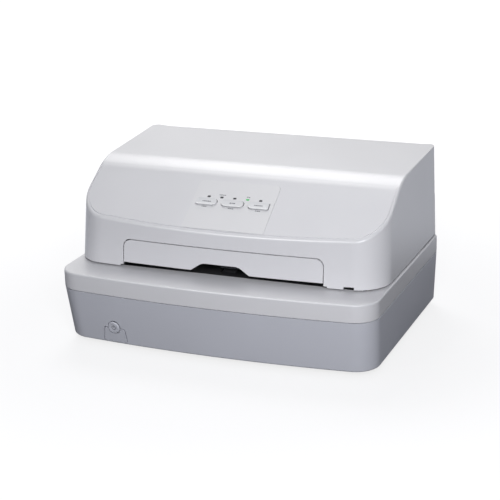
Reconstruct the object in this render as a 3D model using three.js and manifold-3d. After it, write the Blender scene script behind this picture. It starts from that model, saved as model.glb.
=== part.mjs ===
// A desktop passbook printer for bank and shop counters, about 384 x 280 x 203 mm.
// Millimetres. +X is the clerk's right, +Y the rear, +Z up. The origin is on the table, under the middle of the box.
// A clerk slides a passbook over the shelf into the slot under the front flap. Rubber feed rollers carry it under
// a needle head that rides on two rods. The hood swings up at the rear for the ribbon cartridge.
import * as THREE from "three";
import { mergeVertices } from "three/addons/utils/BufferGeometryUtils.js";
import Module from "manifold-3d";

const wasm = await Module();
wasm.setup();

// Driving dimensions
const width = 384;
const depth = 280;
const footHeight = 7.5; // underside of the base above the table
const tubHeight = 62.5; // from the base's underside to the seam
const bandHeight = 20.5; // from the seam to the document shelf
const hoodClearance = 2; // gap between the shelf and the hood's lower edge
const hoodHeight = 110.5;
const shelfDepth = 43; // the shelf in front of the hood, at the middle
const wall = 2.5;
const fit = 0.3; // gap between pieces that seat on each other
const running = 0.3; // radial gap round a shaft or a pin
const overrun = 5; // how far a cutter passes the face it cuts
const weldTolerance = 1e-4;
const halfWidth = width / 2;
const frontEdge = -depth / 2;
const rearEdge = depth / 2;
const seamHeight = footHeight + tubHeight;
const shelfHeight = seamHeight + bandHeight;
const hoodBottom = shelfHeight + hoodClearance;
const height = hoodBottom + hoodHeight;

// Counts of straight steps in round stretches
const bowSteps = 10;
const cornerSteps = 6;
const rearCornerSteps = 2;
const discSides = 20;
const smallDiscSides = 12;

// Materials
function material(colour, roughness, metalness = 0) {
  return new THREE.MeshStandardMaterial({ color: colour, roughness, metalness });
}
const casingPlastic = material(0xd4d3da, 0.5);
const overlayPlastic = material(0xdcdce2, 0.45);
const keyPlastic = material(0xe2e2e6, 0.45);
const blackPlastic = material(0x1b1b1d, 0.55);
const greenPlastic = material(0x2f9a4c, 0.5);
const greyPlastic = material(0x77787c, 0.55);
const whitePlastic = material(0xe8e6dc, 0.5);
const lensPlastic = material(0x3a403c, 0.2);
const rubber = material(0x232325, 0.85);
const steel = material(0xb9bcc0, 0.35, 0.9);
const zincSteel = material(0xc4c7ca, 0.45, 0.8);
const aluminium = material(0xa9acb0, 0.4, 0.9);
const boardGreen = material(0x1d6b3a, 0.5);
const inkFabric = material(0x15151a, 0.9);

const printer = new THREE.Group();

// A closed geometry as a solid that can be joined and cut
function solidOf(geometry) {
  const bare = new THREE.BufferGeometry().setAttribute("position", geometry.getAttribute("position"));
  if (geometry.index) bare.setIndex(geometry.index);
  const merged = mergeVertices(bare, weldTolerance);
  return new wasm.Manifold(
    new wasm.Mesh({
      numProp: 3,
      vertProperties: new Float32Array(merged.attributes.position.array),
      triVerts: new Uint32Array(merged.index.array),
    }),
  );
}

// A solid as one named mesh of the printer
function piece(name, solid, look) {
  const made = solid.getMesh();
  const geometry = new THREE.BufferGeometry();
  geometry.setAttribute("position", new THREE.BufferAttribute(new Float32Array(made.vertProperties), 3));
  geometry.setIndex(new THREE.BufferAttribute(new Uint32Array(made.triVerts), 1));
  geometry.computeVertexNormals();
  const mesh = new THREE.Mesh(geometry, look);
  mesh.name = name;
  printer.add(mesh);
}

function join(...solids) {
  return solids.reduce((sum, next) => sum.add(next));
}

function cut(solid, ...tools) {
  return tools.reduce((rest, tool) => rest.subtract(tool), solid);
}

// A box between two corners
function block([x0, y0, z0], [x1, y1, z1]) {
  const geometry = new THREE.BoxGeometry(x1 - x0, y1 - y0, z1 - z0);
  geometry.translate((x0 + x1) / 2, (y0 + y1) / 2, (z0 + z1) / 2);
  return solidOf(geometry);
}

// Where the axes of an outline and its depth lie, for a prism or a round bar that runs along X, Y or Z
const along = {
  x: new THREE.Matrix4().set(0, 0, 1, 0, 1, 0, 0, 0, 0, 1, 0, 0, 0, 0, 0, 1),
  y: new THREE.Matrix4().set(1, 0, 0, 0, 0, 0, -1, 0, 0, 1, 0, 0, 0, 0, 0, 1),
  z: new THREE.Matrix4(),
};

// An outline pushed along an axis. Along X it is drawn in (y, z), along Y in (x, z) and along Z in (x, y).
function prismGeometry(axis, outline, from, to) {
  const shape = new THREE.Shape(outline.map(([u, v]) => new THREE.Vector2(u, v)));
  const geometry = new THREE.ExtrudeGeometry(shape, { depth: to - from, bevelEnabled: false });
  geometry.translate(0, 0, axis === "y" ? -to : from);
  return geometry.applyMatrix4(along[axis]);
}

function prism(axis, outline, from, to) {
  return solidOf(prismGeometry(axis, outline, from, to));
}

function circle(u, v, radius, sides) {
  return Array.from({ length: sides }, (_, i) => {
    const angle = (2 * Math.PI * i) / sides;
    return [u + radius * Math.cos(angle), v + radius * Math.sin(angle)];
  });
}

// A round bar along an axis, centred on (u, v) of the two other axes
function bar(axis, [u, v], radius, from, to, sides = discSides) {
  return prism(axis, circle(u, v, radius, sides), from, to);
}

// An arc of points round (u, v), its end points included
function arc(u, v, radius, fromAngle, toAngle, steps) {
  return Array.from({ length: steps + 1 }, (_, i) => {
    const angle = fromAngle + ((toAngle - fromAngle) * i) / steps;
    return [u + radius * Math.cos(angle), v + radius * Math.sin(angle)];
  });
}

// A rectangle with its four corner radii, from the lower left corner round to the upper left one
const smallCornerSteps = 3;
const chamferSteps = 1;
function roundedRectangle(
  [u0, v0],
  [u1, v1],
  [lowerLeft, lowerRight, upperRight, upperLeft],
  steps = smallCornerSteps,
) {
  const quarter = Math.PI / 2;
  return [
    ...arc(u0 + lowerLeft, v0 + lowerLeft, lowerLeft, 2 * quarter, 3 * quarter, steps),
    ...arc(u1 - lowerRight, v0 + lowerRight, lowerRight, 3 * quarter, 4 * quarter, steps),
    ...arc(u1 - upperRight, v1 - upperRight, upperRight, 0, quarter, steps),
    ...arc(u0 + upperLeft, v1 - upperLeft, upperLeft, quarter, 2 * quarter, steps),
  ];
}

// A closed body through rings of points that lie level, listed from the lowest ring up
function loft(rings) {
  const count = rings[0].points.length;
  const positions = rings.flatMap(({ z, points }) => points.flatMap(([x, y]) => [x, y, z]));
  const faces = [];
  for (let ring = 0; ring < rings.length - 1; ring++) {
    for (let i = 0; i < count; i++) {
      const a = ring * count + i;
      const b = ring * count + ((i + 1) % count);
      faces.push(a, b, b + count, a, b + count, a + count);
    }
  }
  const contour = rings[0].points.map(([x, y]) => new THREE.Vector2(x, y));
  const top = (rings.length - 1) * count;
  for (const [a, b, c] of THREE.ShapeUtils.triangulateShape(contour, [])) {
    faces.push(a, c, b);
    faces.push(top + a, top + b, top + c);
  }
  const geometry = new THREE.BufferGeometry();
  geometry.setAttribute("position", new THREE.BufferAttribute(new Float32Array(positions), 3));
  geometry.setIndex(faces);
  return solidOf(geometry);
}

// A casing seen from above: a bowed front, round front corners, straight sides and small rear corners
function plan({ half, front, rear, bow, bowHalf, frontRadius, rearRadius }) {
  const straightHalf = half - frontRadius;
  const bowAt = (x) => front + bow * (x / bowHalf) ** 2;
  const endSlope = (2 * bow * straightHalf) / bowHalf ** 2;
  const middle = Array.from({ length: bowSteps + 1 }, (_, i) => {
    const x = straightHalf * ((2 * i) / bowSteps - 1);
    return [x, bowAt(x)];
  });
  const corner = arc(0, 0, frontRadius, -Math.PI / 2, 0, cornerSteps)
    .slice(1)
    .map(([x, y]) => [straightHalf + x, bowAt(straightHalf) + frontRadius + y + endSlope * x]);
  const rearCorner = arc(half - rearRadius, rear - rearRadius, rearRadius, 0, Math.PI / 2, rearCornerSteps);
  const right = [...corner, ...rearCorner];
  const left = right.map(([x, y]) => [-x, y]).reverse();
  return [...middle, ...right, ...left];
}

// A turned upright piece, from (height, radius) points listed from the lowest up
function turned([x, y], profile, sides = discSides) {
  return loft(profile.map(([z, radius]) => ({ z, points: circle(x, y, radius, sides) })));
}

// Base: how the outside of the tub and the shelf frame lies at a height, taken in by an inset
const baseFrontRadius = 25;
const baseRearRadius = 10;
const baseBow = 11;
const frontSlant = 11; // the tub's front runs back this far from the seam to the underside
const sideSlant = 3;
function baseRing(z, inset) {
  const below = Math.max(0, (seamHeight - z) / tubHeight);
  return {
    z,
    points: plan({
      half: halfWidth - sideSlant * below - inset,
      front: frontEdge + frontSlant * below + inset,
      rear: rearEdge - inset,
      bow: baseBow,
      bowHalf: halfWidth,
      frontRadius: baseFrontRadius - inset,
      rearRadius: baseRearRadius - inset,
    }),
  };
}
function baseCore(inset, from, to) {
  const heights = from < seamHeight && seamHeight < to ? [from, seamHeight, to] : [from, to];
  return loft(heights.map((z) => baseRing(z, inset)));
}
const slantPerHeight = frontSlant / tubHeight;
function baseFrontAt(x, z) {
  return frontEdge + baseBow * (x / halfWidth) ** 2 + slantPerHeight * (seamHeight - z);
}

// Power key: its place on the slanted front of the tub, and the frame of that spot
const keyInset = 70.5; // from the left side
const keyRise = 21; // above the base's underside
const keyX = keyInset - halfWidth;
const keyZ = footHeight + keyRise;
const keyRadius = 7.3;
const keyGap = 0.5;
const keyOrigin = new THREE.Vector3(keyX, baseFrontAt(keyX, keyZ), keyZ);
const keyOutward = new THREE.Vector3((2 * baseBow * keyX) / halfWidth ** 2, -1, -slantPerHeight).normalize();
const keySideways = new THREE.Vector3().crossVectors(new THREE.Vector3(0, 0, 1), keyOutward).normalize();
const keyUpward = new THREE.Vector3().crossVectors(keyOutward, keySideways);
const keyFrame = new THREE.Matrix4().makeBasis(keySideways, keyUpward, keyOutward).setPosition(keyOrigin);
function keyBar(radius, from, to, sides = discSides) {
  return solidOf(prismGeometry("z", circle(0, 0, radius, sides), from, to).applyMatrix4(keyFrame));
}

// Power bezel: a tapered tab under the key, with a back plate inside the tub
const bezelTopHalf = 13.2;
const bezelFootHalf = 15;
const bezelShoulderDrop = 1.5; // the tab's shoulders lie this far under the key's middle
const bezelShoulder = keyZ - bezelShoulderDrop;
const bezelCorner = 2;
const bezelGap = 0.4;
const bezelPlate = 2;
const bezelPlateGrowth = 3;
const keyHoleRadius = keyRadius + keyGap;
function bezelOutline(growth, bottom) {
  return [
    [keyX - bezelFootHalf - growth, bottom],
    [keyX + bezelFootHalf + growth, bottom],
    [keyX + bezelTopHalf + growth, bezelShoulder + growth - bezelCorner],
    [keyX + bezelTopHalf + growth - bezelCorner, bezelShoulder + growth],
    [keyX - bezelTopHalf - growth + bezelCorner, bezelShoulder + growth],
    [keyX - bezelTopHalf - growth, bezelShoulder + growth - bezelCorner],
  ];
}

// Connectors in the rear wall: the middle of each and its half sizes
const connectorLip = 3;
const connectorLipThickness = 2;
const connectorSink = 0.5; // how far a connector's face lies inside the rear face
const inletInset = 82; // from the left side
const inletRise = 29.5; // above the base's underside
const inletHalfX = 14;
const inletHalfZ = 10.5;
const inletInward = 22;
const serialInset = 152; // from the right side
const serialHalfX = 15.5;
const serialHalfZ = 6.2;
const serialInward = 14;
const usbInset = 104; // from the right side
const usbHalfX = 6.2;
const usbHalfZ = 5.7;
const usbInward = 16;
const chassisRise = 6.5; // the chassis plate above the base's underside
const chassisHeight = footHeight + chassisRise;
const plateThickness = 1.5;
const plateTop = chassisHeight + plateThickness;
const boardThickness = 1.6;
const standoff = 5;
const mainBoardFoot = plateTop + fit + standoff;
const mainBoardTop = mainBoardFoot + boardThickness;
const connectorSeat = 2.2; // gap between the main board and a socket on it
const inlet = {
  x: inletInset - halfWidth,
  z: footHeight + inletRise,
  halfX: inletHalfX,
  halfZ: inletHalfZ,
  inward: inletInward,
};
const serial = {
  x: halfWidth - serialInset,
  z: mainBoardTop + connectorSeat + serialHalfZ,
  halfX: serialHalfX,
  halfZ: serialHalfZ,
  inward: serialInward,
};
const usb = {
  x: halfWidth - usbInset,
  z: mainBoardTop + connectorSeat + usbHalfZ,
  halfX: usbHalfX,
  halfZ: usbHalfZ,
  inward: usbInward,
};
function connectorBody({ x, z, halfX, halfZ, inward }) {
  const face = rearEdge - connectorSink;
  const seat = rearEdge - wall - fit;
  return join(
    block([x - halfX, face - inward, z - halfZ], [x + halfX, face, z + halfZ]),
    block(
      [x - halfX - connectorLip, seat - connectorLipThickness, z - halfZ],
      [x + halfX + connectorLip, seat, z + halfZ],
    ),
  );
}
const serialWall = 1.5;
const serialRecess = 6;
const usbWall = 0.8;
const usbRecess = 9;
const inletWall = 3;
const inletRecess = 15;
const inletBladeHalfX = 1;
const inletBladeHalfZ = 2;
const inletBladeLength = 11;
const inletBladeX = 7;
function socketRecess({ x, z, halfX, halfZ }, rim, recess) {
  const face = rearEdge - connectorSink;
  return block(
    [x - halfX + rim, face - recess, z - halfZ + rim],
    [x + halfX - rim, face + overrun, z + halfZ - rim],
  );
}
function inletSolid() {
  const floor = rearEdge - connectorSink - inletRecess;
  const blade = (x, z) =>
    block(
      [x - inletBladeHalfX, floor - wall, z - inletBladeHalfZ],
      [x + inletBladeHalfX, floor + inletBladeLength, z + inletBladeHalfZ],
    );
  return join(
    cut(connectorBody(inlet), socketRecess(inlet, inletWall, inletRecess)),
    blade(inlet.x - inletBladeX, inlet.z - inletBladeHalfZ),
    blade(inlet.x, inlet.z + inletBladeHalfZ),
    blade(inlet.x + inletBladeX, inlet.z - inletBladeHalfZ),
  );
}
function connectorHole({ x, z, halfX, halfZ }) {
  return block(
    [x - halfX - fit, rearEdge - wall - overrun, z - halfZ - fit],
    [x + halfX + fit, rearEdge + overrun, z + halfZ + fit],
  );
}

// Feet and the posts that carry the chassis, at the corners of one pattern
const footSideInset = 42;
const footFrontInset = 54;
const footRearInset = 32;
const footX = halfWidth - footSideInset;
const footFrontY = frontEdge + footFrontInset;
const footRearY = rearEdge - footRearInset;
const footRadius = 9;
const footSpigotRadius = 3;
const footSpigotRise = 1.8;
const footSpots = {
  foot_front_left: [-footX, footFrontY],
  foot_front_right: [footX, footFrontY],
  foot_rear_left: [-footX, footRearY],
  foot_rear_right: [footX, footRearY],
};
const postRadius = 5;
const postInset = 14; // from a foot's middle towards the middle of the base

// Lower tub: open on top, with a chamfered lower edge, holes for the bezel and the connectors, and four posts
const tubChamfer = 2;
const seamGroove = 0.8;
const tubTop = seamHeight - seamGroove;
const tubFloor = footHeight + wall;
const tubOutside = loft([
  baseRing(footHeight, tubChamfer),
  baseRing(footHeight + tubChamfer, 0),
  baseRing(tubTop, 0),
]);
const posts = Object.values(footSpots).map(([x, y]) =>
  bar(
    "z",
    [x - Math.sign(x) * postInset, y],
    postRadius,
    footHeight + wall / 2,
    chassisHeight - fit,
    smallDiscSides,
  ),
);
const footHoles = Object.values(footSpots).map(([x, y]) =>
  bar("z", [x, y], footSpigotRadius + running, footHeight - overrun, tubFloor + overrun, smallDiscSides),
);
const bezelHoleReach = 20; // from the front edge, past the slanted front wall
const bezelHole = prism("y", bezelOutline(bezelGap, tubFloor), frontEdge - overrun, frontEdge + bezelHoleReach);
piece(
  "base_tub",
  cut(
    join(cut(tubOutside, baseCore(wall, tubFloor, seamHeight + overrun)), ...posts),
    ...footHoles,
    bezelHole,
    keyBar(keyHoleRadius, -wall - overrun, overrun),
    connectorHole(inlet),
    connectorHole(serial),
    connectorHole(usb),
  ),
  casingPlastic,
);

for (const [name, [x, y]] of Object.entries(footSpots)) {
  piece(
    name,
    join(
      bar("z", [x, y], footRadius, 0, footHeight - fit),
      bar("z", [x, y], footSpigotRadius, footHeight - wall, footHeight + footSpigotRise, smallDiscSides),
    ),
    rubber,
  );
}

// Power bezel, key and switch
const bezelDepth = wall + fit + bezelPlate;
const bezelReach = frontEdge + depth / 4;
const bezelBottom = tubFloor + fit;
const switchHalfX = 8;
const switchHalfZ = 8;
const switchLength = 18;
const keyStemRadius = 3;
const keyTravel = 1.8;
const keyProud = 1.5;
const keyCap = 2.3;
const keyStemLength = 14;
const bezelTab = cut(
  baseCore(0, footHeight + tubChamfer, tubTop),
  baseCore(bezelDepth, 0, tubTop + overrun),
).intersect(prism("y", bezelOutline(0, bezelBottom), frontEdge - overrun, bezelReach));
const bezelBack = cut(
  baseCore(wall + fit, footHeight + tubChamfer, tubTop),
  baseCore(bezelDepth, 0, tubTop + overrun),
).intersect(
  prism(
    "y",
    roundedRectangle(
      [keyX - bezelFootHalf - bezelPlateGrowth, bezelBottom],
      [keyX + bezelFootHalf + bezelPlateGrowth, keyZ + keyHoleRadius + bezelPlateGrowth],
      [bezelCorner, bezelCorner, bezelCorner, bezelCorner],
    ),
    frontEdge - overrun,
    bezelReach,
  ),
);
piece(
  "power_bezel",
  cut(
    join(bezelTab, bezelBack),
    keyBar(keyHoleRadius, -wall - fit, overrun),
    keyBar(keyStemRadius + running, -bezelDepth - overrun, overrun, smallDiscSides),
  ),
  casingPlastic,
);
piece(
  "power_button",
  join(
    keyBar(keyRadius, keyProud - keyCap, keyProud),
    keyBar(keyStemRadius, keyProud - keyStemLength, keyProud - keyCap / 2, smallDiscSides),
  ),
  keyPlastic,
);
const switchFront = -bezelDepth - 2 * fit;
const switchBox = solidOf(
  new THREE.BoxGeometry(2 * switchHalfX, 2 * switchHalfZ, switchLength)
    .translate(0, 0, switchFront - switchLength / 2)
    .applyMatrix4(keyFrame),
);
piece(
  "power_switch",
  cut(
    switchBox,
    keyBar(
      keyStemRadius + running,
      keyProud - keyStemLength - keyTravel - fit,
      switchFront + overrun,
      smallDiscSides,
    ),
  ),
  blackPlastic,
);

// Window in the shelf for the printing mechanism
const mechanismSideInset = 17;
const mechanismFrontInset = 55;
const mechanismRearInset = 14;
const windowCorner = 12;
const mechanismHalf = halfWidth - mechanismSideInset;
const mechanismFront = frontEdge + mechanismFrontInset;
const mechanismRear = rearEdge - mechanismRearInset;

// Shelf frame: the band above the seam, the shelf, and a tongue that reaches down inside the tub
const tongue = 1.5;
const tongueReach = 4;
const shelfThickness = 2.5;
const shelfEdge = 1.6; // chamfer round the shelf's edge
const bandInset = wall + fit + tongue;
piece(
  "shelf_frame",
  cut(
    join(
      loft([
        baseRing(seamHeight, 0),
        baseRing(shelfHeight - shelfEdge, 0),
        baseRing(shelfHeight, shelfEdge),
      ]),
      baseCore(wall + fit, seamHeight - tongueReach, seamHeight + tongueReach),
    ),
    baseCore(bandInset, seamHeight - tongueReach - overrun, shelfHeight - shelfThickness),
    prism(
      "z",
      roundedRectangle(
        [-mechanismHalf, mechanismFront],
        [mechanismHalf, mechanismRear],
        [windowCorner, windowCorner, windowCorner, windowCorner],
      ),
      shelfHeight - shelfThickness - overrun,
      shelfHeight + overrun,
    ),
  ),
  casingPlastic,
);

// Hood: how its walls lie at a height, taken in by an inset
const hoodSideInset = 2;
const hoodRearInset = 1;
const hoodHalf = halfWidth - hoodSideInset;
const hoodFront = frontEdge + shelfDepth;
const hoodRear = rearEdge - hoodRearInset;
const hoodFrontRadius = 35;
const hoodRearRadius = 10;
const hoodBowLow = 8;
const hoodBowHigh = 12;
const hoodSideDraft = 0.025; // share of the height by which each side leans in
const hoodFrontDraft = 0.1; // share of the height by which the front leans back
function hoodRing(z, inset, rear = hoodRear) {
  const above = z - hoodBottom;
  const rise = above / hoodHeight;
  return {
    z,
    points: plan({
      half: hoodHalf - hoodSideDraft * above - inset,
      front: hoodFront + hoodFrontDraft * above + inset,
      rear: rear - inset,
      bow: hoodBowLow + (hoodBowHigh - hoodBowLow) * rise,
      bowHalf: hoodHalf - hoodSideDraft * above,
      frontRadius: hoodFrontRadius - inset,
      rearRadius: hoodRearRadius - inset,
    }),
  };
}
function hoodCore(inset, from, to, rear = hoodRear) {
  return loft([hoodRing(from, inset, rear), hoodRing(to, inset, rear)]);
}
function hoodFrontAt(x, z) {
  const above = z - hoodBottom;
  const bow = hoodBowLow + ((hoodBowHigh - hoodBowLow) * above) / hoodHeight;
  return hoodFront + hoodFrontDraft * above + bow * (x / (hoodHalf - hoodSideDraft * above)) ** 2;
}

// Hood from the side: a nearly level top, a round shoulder and a straight slope down to the front
const flapBottomRise = 5; // the flap's lower edge above the hood's
const flapHeight = 26.5;
const rimBand = 18; // from the flap's top edge to the rim, where the slope starts
const shoulderReach = 94; // from the hood's front to where the lines of slope and top would meet
const shoulderDrop = 5.8; // that point under the hood's highest line
const shoulderRadius = 70;
const flapBottom = hoodBottom + flapBottomRise;
const flapTop = flapBottom + flapHeight;
const rimZ = flapTop + rimBand;
const rimY = hoodFrontAt(0, rimZ);
const shoulderY = hoodFront + shoulderReach;
const shoulderZ = height - shoulderDrop;
const slopeAngle = Math.atan2(shoulderZ - rimZ, shoulderY - rimY);
const rearTopRadius = 8;
const rearTopSteps = 3;
const shoulderSteps = 6;
const topAngle = Math.atan2(height - shoulderZ, hoodRear - rearTopRadius - shoulderY);
const bisector = (topAngle + slopeAngle) / 2;
const centreReach = shoulderRadius / Math.cos((slopeAngle - topAngle) / 2);
const shoulderCentre = [
  shoulderY + centreReach * Math.sin(bisector),
  shoulderZ - centreReach * Math.cos(bisector),
];
function onLine(angle, inset, y) {
  const [centreY, centreZ] = shoulderCentre;
  const radius = shoulderRadius - inset;
  const touchY = centreY - radius * Math.sin(angle);
  const touchZ = centreZ + radius * Math.cos(angle);
  return touchZ + (y - touchY) * Math.tan(angle);
}
function hoodProfile(inset) {
  const front = frontEdge - overrun;
  const rear = hoodRear + overrun;
  const radius = shoulderRadius - inset;
  const quarter = Math.PI / 2;
  const roundY = hoodRear - rearTopRadius;
  const topAtRound = onLine(topAngle, inset, roundY);
  return [
    [front, 0],
    [rear, 0],
    [rear, topAtRound - rearTopRadius],
    ...arc(roundY, topAtRound - rearTopRadius + inset, rearTopRadius - inset, 0, quarter, rearTopSteps),
    ...arc(...shoulderCentre, radius, quarter + topAngle, quarter + slopeAngle, shoulderSteps),
    [front, onLine(slopeAngle, inset, front)],
  ];
}
function hoodBlank(inset, from) {
  return hoodCore(inset, from, height + overrun).intersect(
    prism("x", hoodProfile(inset), -halfWidth - overrun, halfWidth + overrun),
  );
}

// The control panel's frame lies on the slope: u to the right, v up the slope from the shoulder line, w out of it
const slopeFrame = new THREE.Matrix4()
  .makeRotationX(slopeAngle)
  .setPosition(0, shoulderY, shoulderZ);
function onSlope(outline, from, to) {
  return solidOf(prismGeometry("z", outline, from, to).applyMatrix4(slopeFrame));
}

// Control panel, keys and lamps
const panelHalf = 50;
const slopeLength = Math.hypot(shoulderZ - rimZ, shoulderY - rimY);
const panelFoot = 5.8; // from the rim up the slope to the panel
const panelHeight = 73.5;
const panelBottom = panelFoot - slopeLength;
const panelTop = panelBottom + panelHeight;
const panelCorner = 6;
const panelThickness = 1.2;
const panelProud = 0.3;
const panelGap = 0.4;
const panelFloor = panelProud - panelThickness - fit; // bottom of the pocket in the hood
const keyRowRise = 40.7; // the keys above the panel's lower edge
const keyRow = panelBottom + keyRowRise;
const buttonPitch = 32;
const buttonHalfHeight = 4.8;
const buttonRound = 4.6;
const buttonSquare = 1.4;
const buttonHalf = 12.5;
const middleButtonHalf = 13.5;
const buttonGap = 0.35;
const buttonProud = 1.6;
const buttonTravel = 1;
const buttonLip = 1.1;
const buttonLipHalfHeight = 3;
const buttonLipThickness = 1;
const lampRise = 8.3; // the lamps above the keys
const lampRow = keyRow + lampRise;
const lampPitch = 16;
const lampCount = 5;
const lampHalfWidth = 1.8;
const lampHalfHeight = 1.15;
const lampGap = 0.3;
const lampProud = 0.3;
const lampBarHalfHeight = 1.6;
const lampBarThickness = 1.6;
const lampBarMargin = 3;
const buttons = [
  {
    name: "button_left",
    u: -buttonPitch,
    half: buttonHalf,
    radii: [buttonSquare, buttonRound, buttonRound, buttonSquare],
  },
  {
    name: "button_middle",
    u: 0,
    half: middleButtonHalf,
    radii: [buttonRound, buttonRound, buttonRound, buttonRound],
  },
  {
    name: "button_right",
    u: buttonPitch,
    half: buttonHalf,
    radii: [buttonRound, buttonSquare, buttonSquare, buttonRound],
  },
];
function buttonOutline({ u, half, radii }, growth) {
  return roundedRectangle(
    [u - half - growth, keyRow - buttonHalfHeight - growth],
    [u + half + growth, keyRow + buttonHalfHeight + growth],
    radii.map((radius) => radius + growth),
  );
}
function rectangle(u, v, halfU, halfV) {
  return [
    [u - halfU, v - halfV],
    [u + halfU, v - halfV],
    [u + halfU, v + halfV],
    [u - halfU, v + halfV],
  ];
}
const lampSpots = Array.from({ length: lampCount }, (_, i) => (i - (lampCount - 1) / 2) * lampPitch);
function lampOutline(u, growth) {
  return rectangle(u, lampRow, lampHalfWidth + growth, lampHalfHeight + growth);
}
const panelHoles = [
  ...buttons.map((button) => onSlope(buttonOutline(button, buttonGap), -wall - overrun, overrun)),
  ...lampSpots.map((u) => onSlope(lampOutline(u, lampGap), -wall - overrun, overrun)),
];

// Control board on four bosses under the panel
const boardHalf = 46;
const boardHeight = 32;
const boardDrop = 14.5; // its upper edge below the panel's
const boardTop = panelTop - boardDrop;
const boardBottom = boardTop - boardHeight;
const bossLength = 5.2;
const bossRadius = 2.5;
const bossInset = 3.5;
const hoodInside = -wall;
const boardSurface = hoodInside - bossLength - fit;
const tactHalf = 3;
const buttonFoot = boardSurface + wall + fit; // underside of a button's stem
const tactHeight = buttonFoot - buttonTravel - fit - boardSurface;
const bosses = [-1, 1].flatMap((side) =>
  [boardTop - bossInset, boardBottom + bossInset].map((v) =>
    onSlope(
      circle(side * (boardHalf - bossInset), v, bossRadius, smallDiscSides),
      hoodInside - bossLength,
      hoodInside + wall / 2,
    ),
  ),
);

// Front flap: a bowed plate in the front wall, hung on two pins near its top edge
const flapSideInset = 67.7; // from the hood's side
const flapHalf = hoodHalf - flapSideInset;
const flapGap = 1;
const flapCorner = 9.5;
const flapPinRadius = 1.5;
const flapPinDrop = 4.5; // the pins lie this far under the flap's top edge
const flapPinBehind = 4.6; // and this far behind its face at the ends
const flapEarThickness = 5;
const flapEarInset = 3;
const flapEarHalf = 2.6;
const flapPinLength = 8;
const notchTopHalf = 21.5;
const notchFootHalf = 36;
const notchHeight = 9;
const notchCorner = 3;
const undercutShare = 1.5; // how steeply the window's upper edge rises towards the inside
const flapAxisZ = flapTop - flapPinDrop;
const flapAxisY = hoodFrontAt(flapHalf, flapAxisZ) + flapPinBehind;
function windowOutline(growth, bottom, lift) {
  const radius = flapCorner + growth;
  const half = flapHalf + growth;
  const top = flapTop + growth + lift;
  const quarter = Math.PI / 2;
  const across = Array.from({ length: bowSteps - 1 }, (_, i) => {
    const share = 1 - (2 * (i + 1)) / bowSteps;
    return [share * (half - radius), top];
  });
  return [
    [-half, bottom],
    [half, bottom],
    ...arc(half - radius, top - radius, radius, 0, quarter, cornerSteps),
    ...across,
    ...arc(radius - half, top - radius, radius, quarter, 2 * quarter, cornerSteps),
  ];
}

// The window's cutter follows the bowed front, and its upper edge rises inwards so that the flap can tilt
function windowCutter() {
  const outside = windowOutline(flapGap, hoodBottom - overrun, 0);
  const count = outside.length;
  const layer = (offset) =>
    outside.map(([x, z], i) => {
      const y = hoodFrontAt(x, Math.max(z, hoodBottom)) + offset;
      return [x, y, i < 2 ? z : z + undercutShare * offset];
    });
  const layers = [layer(wall + overrun), layer(-overrun - hoodBowLow)];
  const faces = [];
  for (let i = 0; i < count; i++) {
    const next = (i + 1) % count;
    faces.push(i, next, next + count, i, next + count, i + count);
  }
  const contour = outside.map(([x, z]) => new THREE.Vector2(x, z));
  for (const [a, b, c] of THREE.ShapeUtils.triangulateShape(contour, [])) {
    faces.push(a, c, b);
    faces.push(count + a, count + b, count + c);
  }
  const geometry = new THREE.BufferGeometry();
  geometry.setAttribute("position", new THREE.BufferAttribute(new Float32Array(layers.flat(2)), 3));
  geometry.setIndex(faces);
  return solidOf(geometry);
}

// Hinge of the hood, on two steel pins at the rear
const hoodPivotInset = 5.5; // from the rear edge
const hoodPivotRise = 55; // above the hood's lower edge
const hoodPivotY = rearEdge - hoodPivotInset;
const hoodPivotZ = hoodBottom + hoodPivotRise;
const hingeRadius = 4.5;
const hingePinRadius = 2;
const hingeInset = 37; // middle of each hinge from the hood's side
const hingeX = hoodHalf - hingeInset;
const lugHalf = 3.5;
const earThickness = 6;
const hingeSideGap = 0.5;
const hingeNotchMargin = 1;
const hingeArmRise = 12;
const hingeArmFront = 1.5;
const hoodRearRise = 0.6; // the hood's rear wall starts this far above the pivot
const hoodRearBottom = hoodPivotZ + hoodRearRise;
const rearCasingTop = hoodPivotZ - hingeRadius;
const sideWallInset = 9; // the rear edge of the hood's side walls from the base's rear
const sideWallRear = rearEdge - sideWallInset;
const hingePinHalf = lugHalf + hingeSideGap + earThickness + fit;

const hingeNotchTop = hoodPivotZ + hingeRadius + hingeNotchMargin;
const hingeNotchHalf = lugHalf + hingeSideGap + earThickness + hingeNotchMargin;
function hingeLug(side) {
  const x = side * hingeX;
  return join(
    bar("x", [hoodPivotY, hoodPivotZ], hingeRadius, x - lugHalf, x + lugHalf),
    block(
      [x - lugHalf, hoodPivotY - hingeArmFront, hoodPivotZ],
      [x + lugHalf, hoodRear - wall / 2, hoodPivotZ + hingeArmRise],
    ),
  );
}

// Hood: the blank hollowed, then cut for the flap, the panel, the hinges, a latch notch and the gap at the rear
const latchNotchInset = 32; // from the hood's side
const latchNotchWidth = 12;
const latchNotchTo = hoodHalf - latchNotchInset;
const latchNotchFrom = latchNotchTo - latchNotchWidth;
const latchNotchHeight = 3;
const sillNotchReach = 5;
const sillNotchHeight = 1.8;
const lugBackReach = 3;
const lugSideReach = 4;
const lugHalfHeight = 4;
function flapLug(side) {
  const near = side * (flapHalf + flapGap + fit);
  const far = near + side * lugSideReach;
  return block(
    [Math.min(near, far), flapAxisY - flapPinBehind + wall / 2, flapAxisZ - lugHalfHeight],
    [Math.max(near, far), flapAxisY + lugBackReach, flapAxisZ + lugHalfHeight],
  );
}
function flapPinHole(side) {
  const near = side * flapHalf;
  const far = near + side * (flapPinLength + flapGap + fit);
  return bar(
    "x",
    [flapAxisY, flapAxisZ],
    flapPinRadius + running,
    Math.min(near, far),
    Math.max(near, far),
    smallDiscSides,
  );
}
const sides = [-1, 1];
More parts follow.
